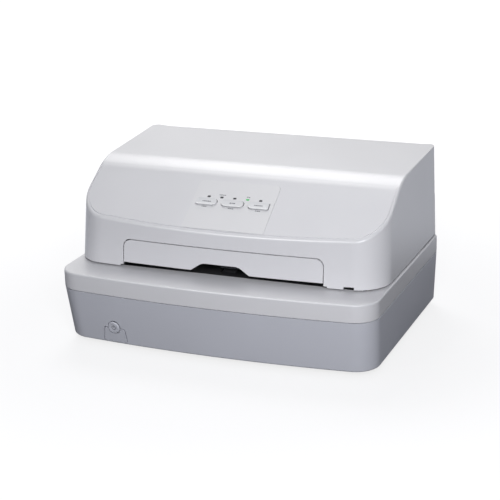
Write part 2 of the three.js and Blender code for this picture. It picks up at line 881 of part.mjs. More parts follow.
const latchNotch = block(
  [latchNotchFrom, hoodFront - overrun, hoodBottom - overrun],
  [latchNotchTo, hoodFront + hoodBowLow + 2 * wall + overrun, hoodBottom + latchNotchHeight],
);
const sillNotches = block(
  [-flapHalf - sillNotchReach, hoodFront - overrun, hoodBottom - overrun],
  [flapHalf + sillNotchReach, hoodFront + hoodBowLow + overrun, hoodBottom + sillNotchHeight],
);
const rearGap = block(
  [-halfWidth, sideWallRear, 0],
  [halfWidth, rearEdge + overrun, hoodRearBottom],
);
const hingeNotches = sides.map((side) =>
  block(
    [side * hingeX - hingeNotchHalf, sideWallRear - overrun, 0],
    [side * hingeX + hingeNotchHalf, rearEdge + overrun, hingeNotchTop],
  ),
);
const panelPocket = onSlope(
  roundedRectangle(
    [-panelHalf - panelGap, panelBottom - panelGap],
    [panelHalf + panelGap, panelTop + panelGap],
    [panelGap, panelGap, panelCorner + panelGap, panelCorner + panelGap],
  ),
  panelFloor,
  overrun,
);
const hoodShell = cut(
  hoodBlank(0, hoodBottom),
  hoodBlank(wall, hoodBottom - overrun),
  rearGap,
  ...hingeNotches,
);
piece(
  "hood",
  cut(
    join(
      cut(hoodShell, windowCutter(), latchNotch, sillNotches, panelPocket, ...panelHoles),
      ...sides.map(hingeLug),
      ...sides.map(flapLug),
      ...bosses,
    ),
    ...sides.map((side) =>
      bar(
        "x",
        [hoodPivotY, hoodPivotZ],
        hingePinRadius + running,
        side * hingeX - lugHalf - overrun,
        side * hingeX + lugHalf + overrun,
        smallDiscSides,
      ),
    ),
    ...sides.map(flapPinHole),
  ),
  casingPlastic,
);

for (const [i, side] of sides.entries()) {
  piece(
    ["hood_hinge_pin_left", "hood_hinge_pin_right"][i],
    bar(
      "x",
      [hoodPivotY, hoodPivotZ],
      hingePinRadius,
      side * hingeX - hingePinHalf,
      side * hingeX + hingePinHalf,
      smallDiscSides,
    ),
    steel,
  );
}

piece(
  "control_panel",
  cut(
    onSlope(
      roundedRectangle(
        [-panelHalf, panelBottom],
        [panelHalf, panelTop],
        [panelGap, panelGap, panelCorner, panelCorner],
      ),
      panelFloor + fit,
      panelProud,
    ),
    ...panelHoles,
  ),
  overlayPlastic,
);

for (const button of buttons) {
  piece(
    button.name,
    join(
      onSlope(buttonOutline(button, 0), hoodInside - fit - buttonLipThickness, buttonProud),
      onSlope(
        rectangle(button.u, keyRow, button.half + buttonLip, buttonLipHalfHeight),
        hoodInside - fit - buttonLipThickness,
        hoodInside - fit,
      ),
      onSlope(rectangle(button.u, keyRow, tactHalf / 2, tactHalf / 2), buttonFoot, hoodInside),
    ),
    keyPlastic,
  );
}

piece(
  "lamp_light_guide",
  join(
    onSlope(
      rectangle(0, lampRow, lampSpots[lampCount - 1] + lampBarMargin, lampBarHalfHeight),
      hoodInside - fit - lampBarThickness,
      hoodInside - fit,
    ),
    ...lampSpots.map((u) => onSlope(lampOutline(u, 0), hoodInside - fit - lampBarThickness / 2, lampProud)),
  ),
  lensPlastic,
);

piece(
  "control_board",
  join(
    onSlope(
      rectangle(0, (boardTop + boardBottom) / 2, boardHalf, (boardTop - boardBottom) / 2),
      boardSurface - boardThickness,
      boardSurface,
    ),
    ...buttons.map(({ u }) =>
      onSlope(
        rectangle(u, keyRow, tactHalf, tactHalf),
        boardSurface - boardThickness / 2,
        boardSurface + tactHeight,
      ),
    ),
  ),
  boardGreen,
);

// Flap: cut from the same walls as the hood, with a finger notch, two ears and two pins
const faceReach = hoodFront + depth / 4; // behind every part of the hood's front wall
const flapBlank = cut(
  hoodCore(0, hoodBottom, flapTop + overrun),
  hoodCore(wall, hoodBottom - overrun, flapTop + 2 * overrun),
).intersect(prism("y", windowOutline(0, flapBottom, 0), hoodFront - overrun, faceReach));
const notchOutline = [
  [-notchFootHalf, flapBottom - overrun],
  [notchFootHalf, flapBottom - overrun],
  [notchFootHalf, flapBottom],
  [notchTopHalf + notchCorner, flapBottom + notchHeight - notchCorner / 2],
  [notchTopHalf - notchCorner / 2, flapBottom + notchHeight],
  [notchCorner / 2 - notchTopHalf, flapBottom + notchHeight],
  [-notchTopHalf - notchCorner, flapBottom + notchHeight - notchCorner / 2],
  [-notchFootHalf, flapBottom],
];
function flapEar(side) {
  const outer = side * (flapHalf - flapEarInset);
  const inner = outer - side * flapEarThickness;
  const pinEnd = outer + side * flapPinLength;
  return join(
    block(
      [Math.min(outer, inner), flapAxisY - flapPinBehind + wall / 2, flapAxisZ - flapEarHalf],
      [Math.max(outer, inner), flapAxisY + flapEarHalf, flapAxisZ + flapEarHalf],
    ),
    bar(
      "x",
      [flapAxisY, flapAxisZ],
      flapPinRadius,
      Math.min(inner, pinEnd),
      Math.max(inner, pinEnd),
      smallDiscSides,
    ),
  );
}
piece(
  "front_flap",
  join(
    cut(flapBlank, prism("y", notchOutline, hoodFront - overrun, faceReach)),
    ...sides.map(flapEar),
  ),
  casingPlastic,
);

// Rear casing: a low wall behind the hood with the document exit and the ears of the hinge
const exitSideInset = 65; // from the hood's side
const exitHalf = hoodHalf - exitSideInset;
const exitSill = 1;
const exitHeight = 8;
const rearCasingFoot = shelfHeight + fit;
const exitBottom = rearCasingFoot + exitSill;
const exitTop = exitBottom + exitHeight;
const rearCasingFront = sideWallRear + fit;
const earFoot = rearCasingTop - 2 * hingeRadius;
function hingeEars(side) {
  return sides.map((end) => {
    const near = side * hingeX + end * (lugHalf + hingeSideGap);
    const far = near + end * earThickness;
    const x0 = Math.min(near, far);
    const x1 = Math.max(near, far);
    return join(
      bar("x", [hoodPivotY, hoodPivotZ], hingeRadius, x0, x1),
      block([x0, hoodPivotY - hingeRadius, earFoot], [x1, rearEdge - wall / 2, hoodPivotZ]),
    );
  });
}
piece(
  "rear_casing",
  cut(
    join(
      cut(
        hoodCore(0, rearCasingFoot, rearCasingTop, rearEdge),
        hoodCore(wall, 0, height, rearEdge),
        block([-halfWidth, frontEdge, 0], [halfWidth, rearCasingFront, height]),
      ),
      ...sides.flatMap(hingeEars),
    ),
    ...sides.map((side) =>
      bar(
        "x",
        [hoodPivotY, hoodPivotZ],
        hingePinRadius + running,
        side * hingeX - hingePinHalf - overrun,
        side * hingeX + hingePinHalf + overrun,
        smallDiscSides,
      ),
    ),
    block([-exitHalf, rearEdge - 2 * wall, exitBottom], [exitHalf, rearEdge + overrun, exitTop]),
  ),
  casingPlastic,
);

// Chassis: a steel plate on the tub's posts
const plateSideInset = 27;
const plateFrontInset = 28;
const plateRearInset = 20;
const plateHalf = halfWidth - plateSideInset;
const plateFront = frontEdge + plateFrontInset;
const plateRear = rearEdge - plateRearInset;
const plateFlange = 6;
const ventRows = 3;
const ventColumns = 5;
const ventHalfX = 12;
const ventHalfY = 2;
const ventPitchX = 40;
const ventPitchY = 12;
const ventRearInset = 48;
const ventRearRow = rearEdge - ventRearInset;
const vents = Array.from({ length: ventRows * ventColumns }, (_, i) => {
  const x = ((i % ventColumns) - (ventColumns - 1) / 2) * ventPitchX;
  const y = ventRearRow - Math.floor(i / ventColumns) * ventPitchY;
  return block([x - ventHalfX, y - ventHalfY, 0], [x + ventHalfX, y + ventHalfY, plateTop + overrun]);
});
piece(
  "chassis_plate",
  cut(
    join(
      block([-plateHalf, plateFront, chassisHeight], [plateHalf, plateRear, plateTop]),
      block(
        [-plateHalf, plateRear - plateThickness, chassisHeight],
        [plateHalf, plateRear, plateTop + plateFlange],
      ),
    ),
    ...vents,
  ),
  zincSteel,
);

// Paper path: the plane of the document and the shafts below and above it
const pathRise = 0.7; // the document's plane above the shelf
const pathHeight = shelfHeight + pathRise;
const feedRadius = 9;
const pinchRadius = 7;
const nip = 0.4; // gap between a feed roller and the pinch roller above it
const feedShaftRadius = 3;
const printLineInset = 67; // the print line behind the hood's front
const feedReach = 32; // each feed shaft from the print line
const printLine = hoodFront + printLineInset;
const frontShaftY = printLine - feedReach;
const rearShaftY = printLine + feedReach;
const feedZ = pathHeight - feedRadius;
const pinchZ = pathHeight + nip + pinchRadius;

// Side frames: steel cheeks on the chassis plate that carry both feed shafts, the platen and the upper frame
const frameInset = 15; // outside of a cheek from the edge of the shelf's window
const frameThickness = 2;
const frameHalf = mechanismHalf - frameInset; // inner face of a cheek
const frameMargin = 1;
const frameFront = mechanismFront + frameMargin;
const upperPivotShare = 0.7583; // of the depth of the shelf's window, from its front
const upperPivotRise = 8.8; // above the document's plane
const upperPivotRadius = 4;
const upperPivotY = mechanismFront + upperPivotShare * (mechanismRear - mechanismFront);
const upperPivotZ = pathHeight + upperPivotRise;
const frameBehind = 25; // the cheek's rear edge behind the upper frame's pivot
const frameAhead = 35; // and the raised stretch in front of it
const frameRise = 8; // the raised stretch over the pivot
const frameStepHeight = 12;
const frameRear = upperPivotY + frameBehind;
const frameStep = upperPivotY - frameAhead;
const frameTop = upperPivotZ + frameRise;
const frameFrontTop = frameTop - frameStepHeight;
const frameFlange = 14;
const frameFoot = plateTop + fit;
function sideFrame(side) {
  const x0 = Math.min(side * frameHalf, side * (frameHalf + frameThickness));
  const x1 = x0 + frameThickness;
  const flangeEnd = side * (frameHalf - frameFlange);
  const cheek = prism(
    "x",
    [
      [frameFront, frameFoot],
      [frameRear, frameFoot],
      [frameRear, frameTop],
      [frameStep, frameTop],
      [frameStep - frameStepHeight, frameFrontTop],
      [frameFront, frameFrontTop],
    ],
    x0,
    x1,
  );
  const flange = block(
    [Math.min(flangeEnd, x0), frameFront, frameFoot],
    [Math.max(flangeEnd, x1), frameRear, frameFoot + frameThickness],
  );
  const hole = (y, z, radius, sidesOfHole) =>
    bar("x", [y, z], radius + running, x0 - overrun, x1 + overrun, sidesOfHole);
  const motorHole = side > 0 ? [hole(motorY, motorZ, motorPilotRadius, discSides)] : [];
  return cut(
    join(cheek, flange),
    hole(frontShaftY, feedZ, feedShaftRadius, smallDiscSides),
    hole(rearShaftY, feedZ, feedShaftRadius, smallDiscSides),
    hole(upperPivotY, upperPivotZ, upperPivotRadius, smallDiscSides),
    ...motorHole,
  );
}

// Feed motor: a square stepping motor inside the right cheek, its pilot and shaft through the cheek
const motorDrop = 32.2; // the motor's axis under the feed shafts
const motorY = printLine;
const motorZ = feedZ - motorDrop;
const motorHalf = 21;
const motorCorner = 4;
const motorLength = 36;
const motorPilotRadius = 11;
const motorPilotLength = 1.6;
const motorShaftRadius = 2.5;
const pulleyRadius = 14;
const motorPulleyRadius = 6;
const pulleyWidth = 7;
const flangeRise = 1.6;
const flangeThickness = 1;
const pulleySideGap = 0.45;
const pulleyInner = frameHalf + frameThickness + pulleySideGap;
const pulleyOuter = pulleyInner + pulleyWidth;
piece("side_frame_left", sideFrame(-1), zincSteel);
piece("side_frame_right", sideFrame(1), zincSteel);

function motorBody(axis, [u, v], half, from, to) {
  return prism(
    axis,
    roundedRectangle(
      [u - half, v - half],
      [u + half, v + half],
      [motorCorner, motorCorner, motorCorner, motorCorner],
      chamferSteps,
    ),
    from,
    to,
  );
}
const motorFace = frameHalf - fit;
piece(
  "feed_motor",
  join(
    motorBody("x", [motorY, motorZ], motorHalf, motorFace - motorLength, motorFace),
    bar("x", [motorY, motorZ], motorPilotRadius, motorFace - motorCorner, motorFace + motorPilotLength),
    bar("x", [motorY, motorZ], motorShaftRadius, motorFace, pulleyOuter, smallDiscSides),
  ),
  aluminium,
);

// A pulley with two flanges on its shaft
function pulley(axis, centre, radius, boreRadius, from, to) {
  return cut(
    join(
      bar(axis, centre, radius, from, to),
      bar(axis, centre, radius + flangeRise, from, from + flangeThickness),
      bar(axis, centre, radius + flangeRise, to - flangeThickness, to),
    ),
    bar(axis, centre, boreRadius + fit, from - overrun, to + overrun, smallDiscSides),
  );
}
piece(
  "feed_motor_pulley",
  pulley("x", [motorY, motorZ], motorPulleyRadius, motorShaftRadius, pulleyInner, pulleyOuter),
  whitePlastic,
);

// Feed shafts, each with three rubber rollers and a pulley outside the right cheek
const rollerPitch = 90;
const rollerX = [-rollerPitch, 0, rollerPitch];
const rollerNames = ["left", "middle", "right"];
const rollerHalf = 8;
const shaftProud = 3;
const shaftLeftEnd = -frameHalf - frameThickness - shaftProud;
for (const [end, y] of [["front", frontShaftY], ["rear", rearShaftY]]) {
  piece(
    `${end}_feed_shaft`,
    bar("x", [y, feedZ], feedShaftRadius, shaftLeftEnd, pulleyOuter, smallDiscSides),
    steel,
  );
  piece(
    `${end}_feed_pulley`,
    pulley("x", [y, feedZ], pulleyRadius, feedShaftRadius, pulleyInner, pulleyOuter),
    whitePlastic,
  );
  for (const [i, x] of rollerX.entries()) {
    piece(
      `${end}_feed_roller_${rollerNames[i]}`,
      cut(
        bar("x", [y, feedZ], feedRadius, x - rollerHalf, x + rollerHalf),
        bar(
          "x",
          [y, feedZ],
          feedShaftRadius + fit,
          x - rollerHalf - overrun,
          x + rollerHalf + overrun,
          smallDiscSides,
        ),
      ),
      rubber,
    );
  }
}

// A belt round some pulleys: the hull of their circles, as thick as the belt
const beltThickness = 1;
function hull(points) {
  const sorted = [...points].sort((a, b) => a[0] - b[0] || a[1] - b[1]);
  const turn = (a, b, c) => (b[0] - a[0]) * (c[1] - a[1]) - (b[1] - a[1]) * (c[0] - a[0]);
  const chain = (list) => {
    const kept = [];
    for (const point of list) {
      while (kept.length > 1 && turn(kept[kept.length - 2], kept[kept.length - 1], point) <= 0) kept.pop();
      kept.push(point);
    }
    return kept.slice(0, -1);
  };
  return [...chain(sorted), ...chain(sorted.reverse())];
}
function belt(axis, rounds, from, to) {
  const loop = (growth) => hull(rounds.flatMap(([u, v, radius]) => circle(u, v, radius + growth, discSides)));
  return cut(
    prism(axis, loop(fit + beltThickness), from, to),
    prism(axis, loop(fit), from - overrun, to + overrun),
  );
}
const beltMargin = flangeThickness + fit;
piece(
  "feed_belt",
  belt(
    "x",
    [
      [motorY, motorZ, motorPulleyRadius],
      [frontShaftY, feedZ, pulleyRadius],
      [rearShaftY, feedZ, pulleyRadius],
    ],
    pulleyInner + beltMargin,
    pulleyOuter - beltMargin,
  ),
  rubber,
);

// Platen: a hard steel bar across the print line
const platenHalfWidth = 4;
const platenDepth = 12;
piece(
  "platen_bar",
  block(
    [-frameHalf + fit, printLine - platenHalfWidth, pathHeight - platenDepth],
    [frameHalf - fit, printLine + platenHalfWidth, pathHeight],
  ),
  steel,
);

// Lower guide: a plate level with the shelf, with windows for the rollers and a slot for the platen
const guideTop = shelfHeight;
const guideThickness = 2;
const guideFront = mechanismFront + fit;
const guideRear = mechanismRear - fit;
const guideHalf = frameHalf - fit;
const guideLip = 5; // how deep its folded front and rear edges reach
const windowMargin = 1.5;
const rollerWindowX = rollerHalf + windowMargin;
const rollerWindowY = feedRadius + windowMargin;
const platenWindow = platenHalfWidth + windowMargin;
const strapThickness = 5; // an end strap passes under the platen and joins the guide's two halves
const platenFoot = pathHeight - platenDepth;
function guideStrap(side) {
  const outer = side * guideHalf;
  const inner = outer - side * strapThickness;
  return block(
    [Math.min(outer, inner), printLine - platenWindow - strapThickness, platenFoot - fit - guideThickness],
    [Math.max(outer, inner), printLine + platenWindow + strapThickness, guideTop],
  );
}
piece(
  "lower_guide",
  cut(
    join(
      block([-guideHalf, guideFront, guideTop - guideThickness], [guideHalf, guideRear, guideTop]),
      block([-guideHalf, guideFront, guideTop - guideLip], [guideHalf, guideFront + guideThickness, guideTop]),
      block([-guideHalf, guideRear - guideThickness, guideTop - guideLip], [guideHalf, guideRear, guideTop]),
      ...sides.map(guideStrap),
    ),
    block(
      [strapThickness - guideHalf, printLine - platenWindow, platenFoot],
      [guideHalf - strapThickness, printLine + platenWindow, guideTop + overrun],
    ),
    block(
      [-frameHalf, printLine - platenHalfWidth - fit, platenFoot - fit],
      [frameHalf, printLine + platenHalfWidth + fit, guideTop + overrun],
    ),
    ...[frontShaftY, rearShaftY].flatMap((y) =>
      rollerX.map((x) =>
        block(
          [x - rollerWindowX, y - rollerWindowY, guideTop - guideThickness - overrun],
          [x + rollerWindowX, y + rollerWindowY, guideTop + overrun],
        ),
      ),
    ),
  ),
  blackPlastic,
);

// Power supply and main board on the chassis plate
const supplySideInset = 52;
const supplyRearInset = 35;
const supplyWidth = 95;
const supplyDepth = 65;
const supplyHeight = 48;
const supply = {
  x0: supplySideInset - halfWidth,
  x1: supplySideInset - halfWidth + supplyWidth,
  y0: rearEdge - supplyRearInset - supplyDepth,
  y1: rearEdge - supplyRearInset,
  height: supplyHeight,
};
const supplyFoot = plateTop + fit;
piece(
  "power_supply",
  cut(
    block([supply.x0, supply.y0, supplyFoot], [supply.x1, supply.y1, supplyFoot + supply.height]),
    ...Array.from({ length: ventColumns }, (_, i) => {
      const x = supply.x0 + ((i + 1) * (supply.x1 - supply.x0)) / (ventColumns + 1);
      return block(
        [x - ventHalfY, supply.y0 + ventPitchY, supplyFoot + supply.height - wall],
        [x + ventHalfY, supply.y1 - ventPitchY, supplyFoot + supply.height + overrun],
      );
    }),
  ),
  zincSteel,
);
const mainBoardInset = 57; // its right edge from the base's side
const mainBoardSupplyGap = 15;
const mainBoardRearInset = 24;
const mainBoardDepth = 101;
const boardX1 = halfWidth - mainBoardInset;
const boardX0 = supply.x1 + mainBoardSupplyGap;
const mainBoardWidth = boardX1 - boardX0;
const boardY1 = rearEdge - mainBoardRearInset;
const boardY0 = boardY1 - mainBoardDepth;
const standoffRadius = 3.5;
const standoffInset = 6;
const mainBoardMiddle = (mainBoardFoot + mainBoardTop) / 2;

// The tallest pieces on the board: middle, half sizes and height as shares of the board and of the tallest one
const tallestChip = 14;
const chipShares = [
  [0.303, 0.446, 0.085, 0.139, 0.171],
  [0.545, 0.396, 0.055, 0.069, 0.214],
  [0.812, 0.386, 0.073, 0.158, 1],
  [0.133, 0.208, 0.036, 0.119, 0.786],
  [0.558, 0.149, 0.158, 0.04, 0.643],
];
const chips = chipShares.map(([x, y, halfX, halfY, rise]) => ({
  x: boardX0 + x * mainBoardWidth,
  y: boardY0 + y * mainBoardDepth,
  halfX: halfX * mainBoardWidth,
  halfY: halfY * mainBoardDepth,
  rise: rise * tallestChip,
}));
piece(
  "main_board",
  join(
    block([boardX0, boardY0, mainBoardFoot], [boardX1, boardY1, mainBoardTop]),
    ...[boardX0 + standoffInset, boardX1 - standoffInset].flatMap((x) =>
      [boardY0 + standoffInset, boardY1 - standoffInset].map((y) =>
        bar("z", [x, y], standoffRadius, plateTop + fit, mainBoardMiddle, smallDiscSides),
      ),
    ),
    ...chips.map(({ x, y, halfX, halfY, rise }) =>
      block([x - halfX, y - halfY, mainBoardMiddle], [x + halfX, y + halfY, mainBoardTop + rise]),
    ),
  ),
  boardGreen,
);
piece("power_inlet", inletSolid(), blackPlastic);
piece("serial_port", cut(connectorBody(serial), socketRecess(serial, serialWall, serialRecess)), steel);
piece("usb_port", cut(connectorBody(usb), socketRecess(usb, usbWall, usbRecess)), steel);

// Upper frame: two cheeks inside the side frames, joined by a front, a rear and a roof plate
const leverSpace = 6; // between an upper cheek and the side frame beside it
const cheekThickness = 2;
const cheekOuter = frameHalf - leverSpace;
const cheekInner = cheekOuter - cheekThickness;
const cheekRise = 3.8; // the cheeks' lower edge above the document's plane
const cheekHeight = 31;
const cheekAhead = 50; // from the print line to the cheeks' front edge
const cheekBehind = 9; // from the pivot to their rear edge
const cheekFoot = pathHeight + cheekRise;
const cheekTop = cheekFoot + cheekHeight;
const cheekFront = printLine - cheekAhead;
const cheekRear = upperPivotY + cheekBehind;
const rodRadius = 4;
const rodDrop = 4; // the rods' axes under the cheeks' upper edge
const rodAhead = 20;
const rodBehind = 24;
const carriageReach = 7; // of the carriage beyond each rod's axis
const rodZ = cheekTop - rodDrop;
const frontRodY = printLine - rodAhead;
const rearRodY = printLine + rodBehind;
const carriageFront = frontRodY - carriageReach;
const carriageRear = rearRodY + carriageReach;
const pinchShaftRadius = 2.5;
const releaseAhead = 45.5; // from the print line
const releaseRise = 10.3; // above the document's plane
const releaseY = printLine - releaseAhead;
const releaseZ = pathHeight + releaseRise;
const releaseRadius = 3;
const bridgeThickness = 2;
const bridgeDrop = 10; // under the cheeks' upper edge
const bridgeZ = cheekTop - bridgeDrop;
const backPlateY = upperPivotY - cheekBehind;
const backPlateFoot = upperPivotZ;
const bridgeRear = backPlateY;
const frontBeamDrop = 18.5; // its lower edge under the cheeks' upper edge
const frontBeamHeight = 4;
const frontBeamFoot = cheekTop - frontBeamDrop;
const frontBeamTop = frontBeamFoot + frontBeamHeight;
const frontBeamReach = 6;
function upperCheek(side) {
  const x0 = Math.min(side * cheekInner, side * cheekOuter);
  const outline = [
    [cheekFront, cheekFoot],
    [cheekRear, cheekFoot],
    [cheekRear, cheekTop - bridgeDrop],
    [backPlateY, cheekTop],
    [cheekFront + frontBeamReach, cheekTop],
    [cheekFront, cheekTop - frontBeamReach],
  ];
  const hole = (y, z, radius, play) =>
    bar("x", [y, z], radius + play, x0 - overrun, x0 + cheekThickness + overrun, smallDiscSides);
  return cut(
    prism("x", outline, x0, x0 + cheekThickness),
    hole(frontRodY, rodZ, rodRadius, fit),
    hole(rearRodY, rodZ, rodRadius, fit),
    hole(frontShaftY, pinchZ, pinchShaftRadius, running),
    hole(rearShaftY, pinchZ, pinchShaftRadius, running),
    hole(releaseY, releaseZ, releaseRadius, running),
  );
}
function upperTrunnion(side) {
  const inner = side * (cheekInner + cheekThickness / 2);
  const outer = side * (frameHalf + frameThickness + fit);
  return bar(
    "x",
    [upperPivotY, upperPivotZ],
    upperPivotRadius,
    Math.min(inner, outer),
    Math.max(inner, outer),
    smallDiscSides,
  );
}

// Carriage drive: a motor and a belt loop over two upright pulleys, behind the carriage
const carriagePulleyInset = 14; // from the cheek's inner face
const carriagePulleyShare = 0.3692; // of the way from the carriage to the back plate
const carriagePulleyX = cheekInner - carriagePulleyInset;
const carriagePulleyY = carriageRear + carriagePulleyShare * (backPlateY - carriageRear);
const carriagePulleyRadius = 8;
const carriagePulleyFoot = bridgeZ + bridgeThickness + fit;
const carriagePulleyTop = carriagePulleyFoot + pulleyWidth;
const bracketHalf = 20;
const bracketAhead = 9; // in front of the pulley's axle
const bridgeSetback = 11; // the bridge's front edge behind the pulley's axle
const bridgeFront = carriagePulleyY + bridgeSetback;
const carriageMotorX = -carriagePulleyX;
const carriageMotorHalf = 13.5;
const carriageMotorLength = 20;
const idlerAxleRadius = 2.5;
const brackets = sides.map((side) =>
  block(
    [
      Math.min(side * (carriagePulleyX - bracketHalf), side * (cheekInner + cheekThickness / 2)),
      carriagePulleyY - bracketAhead,
      bridgeZ,
    ],
    [
      Math.max(side * (carriagePulleyX - bracketHalf), side * (cheekInner + cheekThickness / 2)),
      bridgeFront + bridgeThickness,
      bridgeZ + bridgeThickness,
    ],
  ),
);
piece(
  "upper_frame",
  cut(
    join(
      ...sides.map(upperCheek),
      ...sides.map(upperTrunnion),
      block(
        [-cheekInner - cheekThickness / 2, bridgeFront, bridgeZ],
        [cheekInner + cheekThickness / 2, bridgeRear + bridgeThickness, bridgeZ + bridgeThickness],
      ),
      block(
        [-cheekInner - cheekThickness / 2, backPlateY, backPlateFoot],
        [cheekInner + cheekThickness / 2, backPlateY + bridgeThickness, bridgeZ + bridgeThickness],
      ),
      block(
        [-cheekInner - cheekThickness / 2, cheekFront, frontBeamFoot],
        [cheekInner + cheekThickness / 2, cheekFront + bridgeThickness, frontBeamTop],
      ),
      ...brackets,
      bar(
        "z",
        [carriagePulleyX, carriagePulleyY],
        idlerAxleRadius,
        bridgeZ + bridgeThickness / 2,
        carriagePulleyTop,
        smallDiscSides,
      ),
    ),
    bar(
      "z",
      [carriageMotorX, carriagePulleyY],
      idlerAxleRadius + running,
      bridgeZ - overrun,
      bridgeZ + bridgeThickness + overrun,
      smallDiscSides,
    ),
  ),
  zincSteel,
);

const rodEnd = cheekOuter + cheekThickness / 2;
piece("carriage_rod_front", bar("x", [frontRodY, rodZ], rodRadius, -rodEnd, rodEnd, discSides), steel);
piece("carriage_rod_rear", bar("x", [rearRodY, rodZ], rodRadius, -rodEnd, rodEnd, discSides), steel);
piece(
  "carriage_motor",
  join(
    motorBody(
      "z",
      [carriageMotorX, carriagePulleyY],
      carriageMotorHalf,
      bridgeZ - fit - carriageMotorLength,
      bridgeZ - fit,
    ),
    bar(
      "z",
      [carriageMotorX, carriagePulleyY],
      idlerAxleRadius,
      bridgeZ - motorCorner,
      carriagePulleyTop,
      smallDiscSides,
    ),
  ),
  aluminium,
);
for (const [name, x] of [
  ["carriage_drive_pulley", carriageMotorX],
  ["carriage_idler_pulley", carriagePulleyX],
]) {
  piece(
    name,
    pulley(
      "z",
      [x, carriagePulleyY],
      carriagePulleyRadius,
      idlerAxleRadius,
      carriagePulleyFoot,
      carriagePulleyTop,
    ),
    whitePlastic,
  );
}
piece(
  "carriage_belt",
  belt(
    "z",
    [
      [carriageMotorX, carriagePulleyY, carriagePulleyRadius],
      [carriagePulleyX, carriagePulleyY, carriagePulleyRadius],
    ],
    carriagePulleyFoot + beltMargin,
    carriagePulleyTop - beltMargin,
  ),
  rubber,
);

// Carriage on the two rods, with a clamp on the belt, and the needle head it carries
const carriageHalf = 22;
const carriageGrip = 8; // material round a rod's axis
const carriageFoot = rodZ - carriageGrip;
const carriageTop = rodZ + carriageGrip;
const clampHalf = 6;
const clampClearance = 0.8;
const clampGrip = 2;
const headRadius = 15;
const headFlangeRadius = 18;
const noseTip = 2.2; // gap between the nose and the platen
const noseRadius = 3.5;
const noseHeight = 12.6;
const headConeHeight = 6;
const headRise = 8; // the head above the carriage
const noseTop = pathHeight + noseTip + noseHeight;
const headFoot = noseTop + headConeHeight;
const headTop = carriageTop + headRise;
const finCount = 3;
const finDepth = 3;
const headSides = 16;
const beltRun = carriagePulleyY - carriagePulleyRadius; // the front run of the belt
const clampInner = beltRun - beltThickness - 2 * fit;
piece(
  "carriage",
  cut(
    join(
      block([-carriageHalf, carriageFront, carriageFoot], [carriageHalf, carriageRear, carriageTop]),
      block(
        [-clampHalf, carriageRear - wall, bridgeZ + bridgeThickness + clampClearance],
        [clampHalf, clampInner, carriageTop],
      ),
      block(
        [-clampHalf, clampInner - wall, carriagePulleyTop + fit],
        [clampHalf, beltRun + clampGrip, carriageTop],
      ),
    ),
    ...[frontRodY, rearRodY].map((y) =>
      bar("x", [y, rodZ], rodRadius + running, -carriageHalf - overrun, carriageHalf + overrun),
    ),
    bar("z", [0, printLine], headRadius + fit, carriageFoot - overrun, carriageTop + overrun),
  ),
  blackPlastic,
);
const finPitch = (headTop - carriageTop - fit) / (2 * finCount + 1);
const fins = Array.from({ length: finCount }, (_, i) => {
  const z = carriageTop + fit + (2 * i + 1) * finPitch;
  return [
    [z, headFlangeRadius],
    [z, headFlangeRadius - finDepth],
    [z + finPitch, headFlangeRadius - finDepth],
    [z + finPitch, headFlangeRadius],
  ];
}).flat();
piece(
  "print_head",
  turned([0, printLine], [
    [pathHeight + noseTip, noseRadius],
    [noseTop, 2 * noseRadius],
    [headFoot, headRadius],
    [carriageTop + fit, headRadius],
    [carriageTop + fit, headFlangeRadius],
    ...fins,
    [headTop, headFlangeRadius],
  ], headSides),
  aluminium,
);

// Pinch rollers above the feed rollers, carried by the upper frame
const pinchBand = 12;
function pinchRoller(y) {
  const inner = cheekInner - running;
  return join(
    bar("x", [y, pinchZ], pinchShaftRadius, -rodEnd, rodEnd, smallDiscSides),
    ...rollerX.map((x) => bar("x", [y, pinchZ], pinchRadius, x - pinchBand, x + pinchBand)),
    ...sides.map((side) =>
      bar(
        "x",
        [y, pinchZ],
        pinchShaftRadius + cheekThickness,
        side > 0 ? inner - cheekThickness : -inner,
        side > 0 ? inner : cheekThickness - inner,
        smallDiscSides,
      ),
    ),
  );
}
piece("front_pinch_roller", pinchRoller(frontShaftY), greyPlastic);
piece("rear_pinch_roller", pinchRoller(rearShaftY), greyPlastic);

// Ribbon cartridge: a long black box in front of the carriage, with two arms that stretch the ribbon
const cartridgeSideGap = 4;
const cartridgeHalf = cheekInner - cartridgeSideGap;
const cartridgeGap = 2; // to the carriage behind it
const cartridgeDepth = 18;
const cartridgeHeight = 12.5;
const cartridgeDrop = 0.5; // its top under the cheeks' upper edge
const cartridgeRear = carriageFront - cartridgeGap;
const cartridgeFront = cartridgeRear - cartridgeDepth;
const cartridgeTop = cheekTop - cartridgeDrop;
const cartridgeFoot = cartridgeTop - cartridgeHeight;
const armThickness = 6;
const armReach = 9; // behind the print line
const armClearance = 0.8; // above the document's plane
const armPostThickness = 3.2;
const armRear = printLine + armReach;
const armFoot = pathHeight + armClearance;
const armFront = cartridgeRear + cartridgeGap / 2;
const armPostRear = armFront + armPostThickness;
const ribbonHalf = cartridgeHalf - armThickness - fit;
const ribbonHalfWidth = 6.5;
const ribbonThickness = 0.3;
const ribbonRise = 1.3; // above the document's plane
const ribbonHeight = pathHeight + ribbonRise;
const knobInset = 30; // from the cartridge's end
const knobX = cartridgeHalf - knobInset;
const knobY = (cartridgeFront + cartridgeRear) / 2;
const knobRadius = 7;
const knobRise = 4;
const knobStem = 2;
const knobStemDepth = 5;
function cartridgeArm(side) {
  const x0 = Math.min(side * cartridgeHalf, side * (cartridgeHalf - armThickness));
  return prism(
    "x",
    [
      [armFront, armFoot],
      [armRear, armFoot],
      [armRear, armFoot + armThickness],
      [armPostRear, armFoot + 2 * armThickness],
      [armPostRear, cartridgeTop],
      [cartridgeRear - wall, cartridgeTop],
      [cartridgeRear - wall, cartridgeFoot],
      [armFront, cartridgeFoot],
    ],
    x0,
    x0 + armThickness,
  );
}
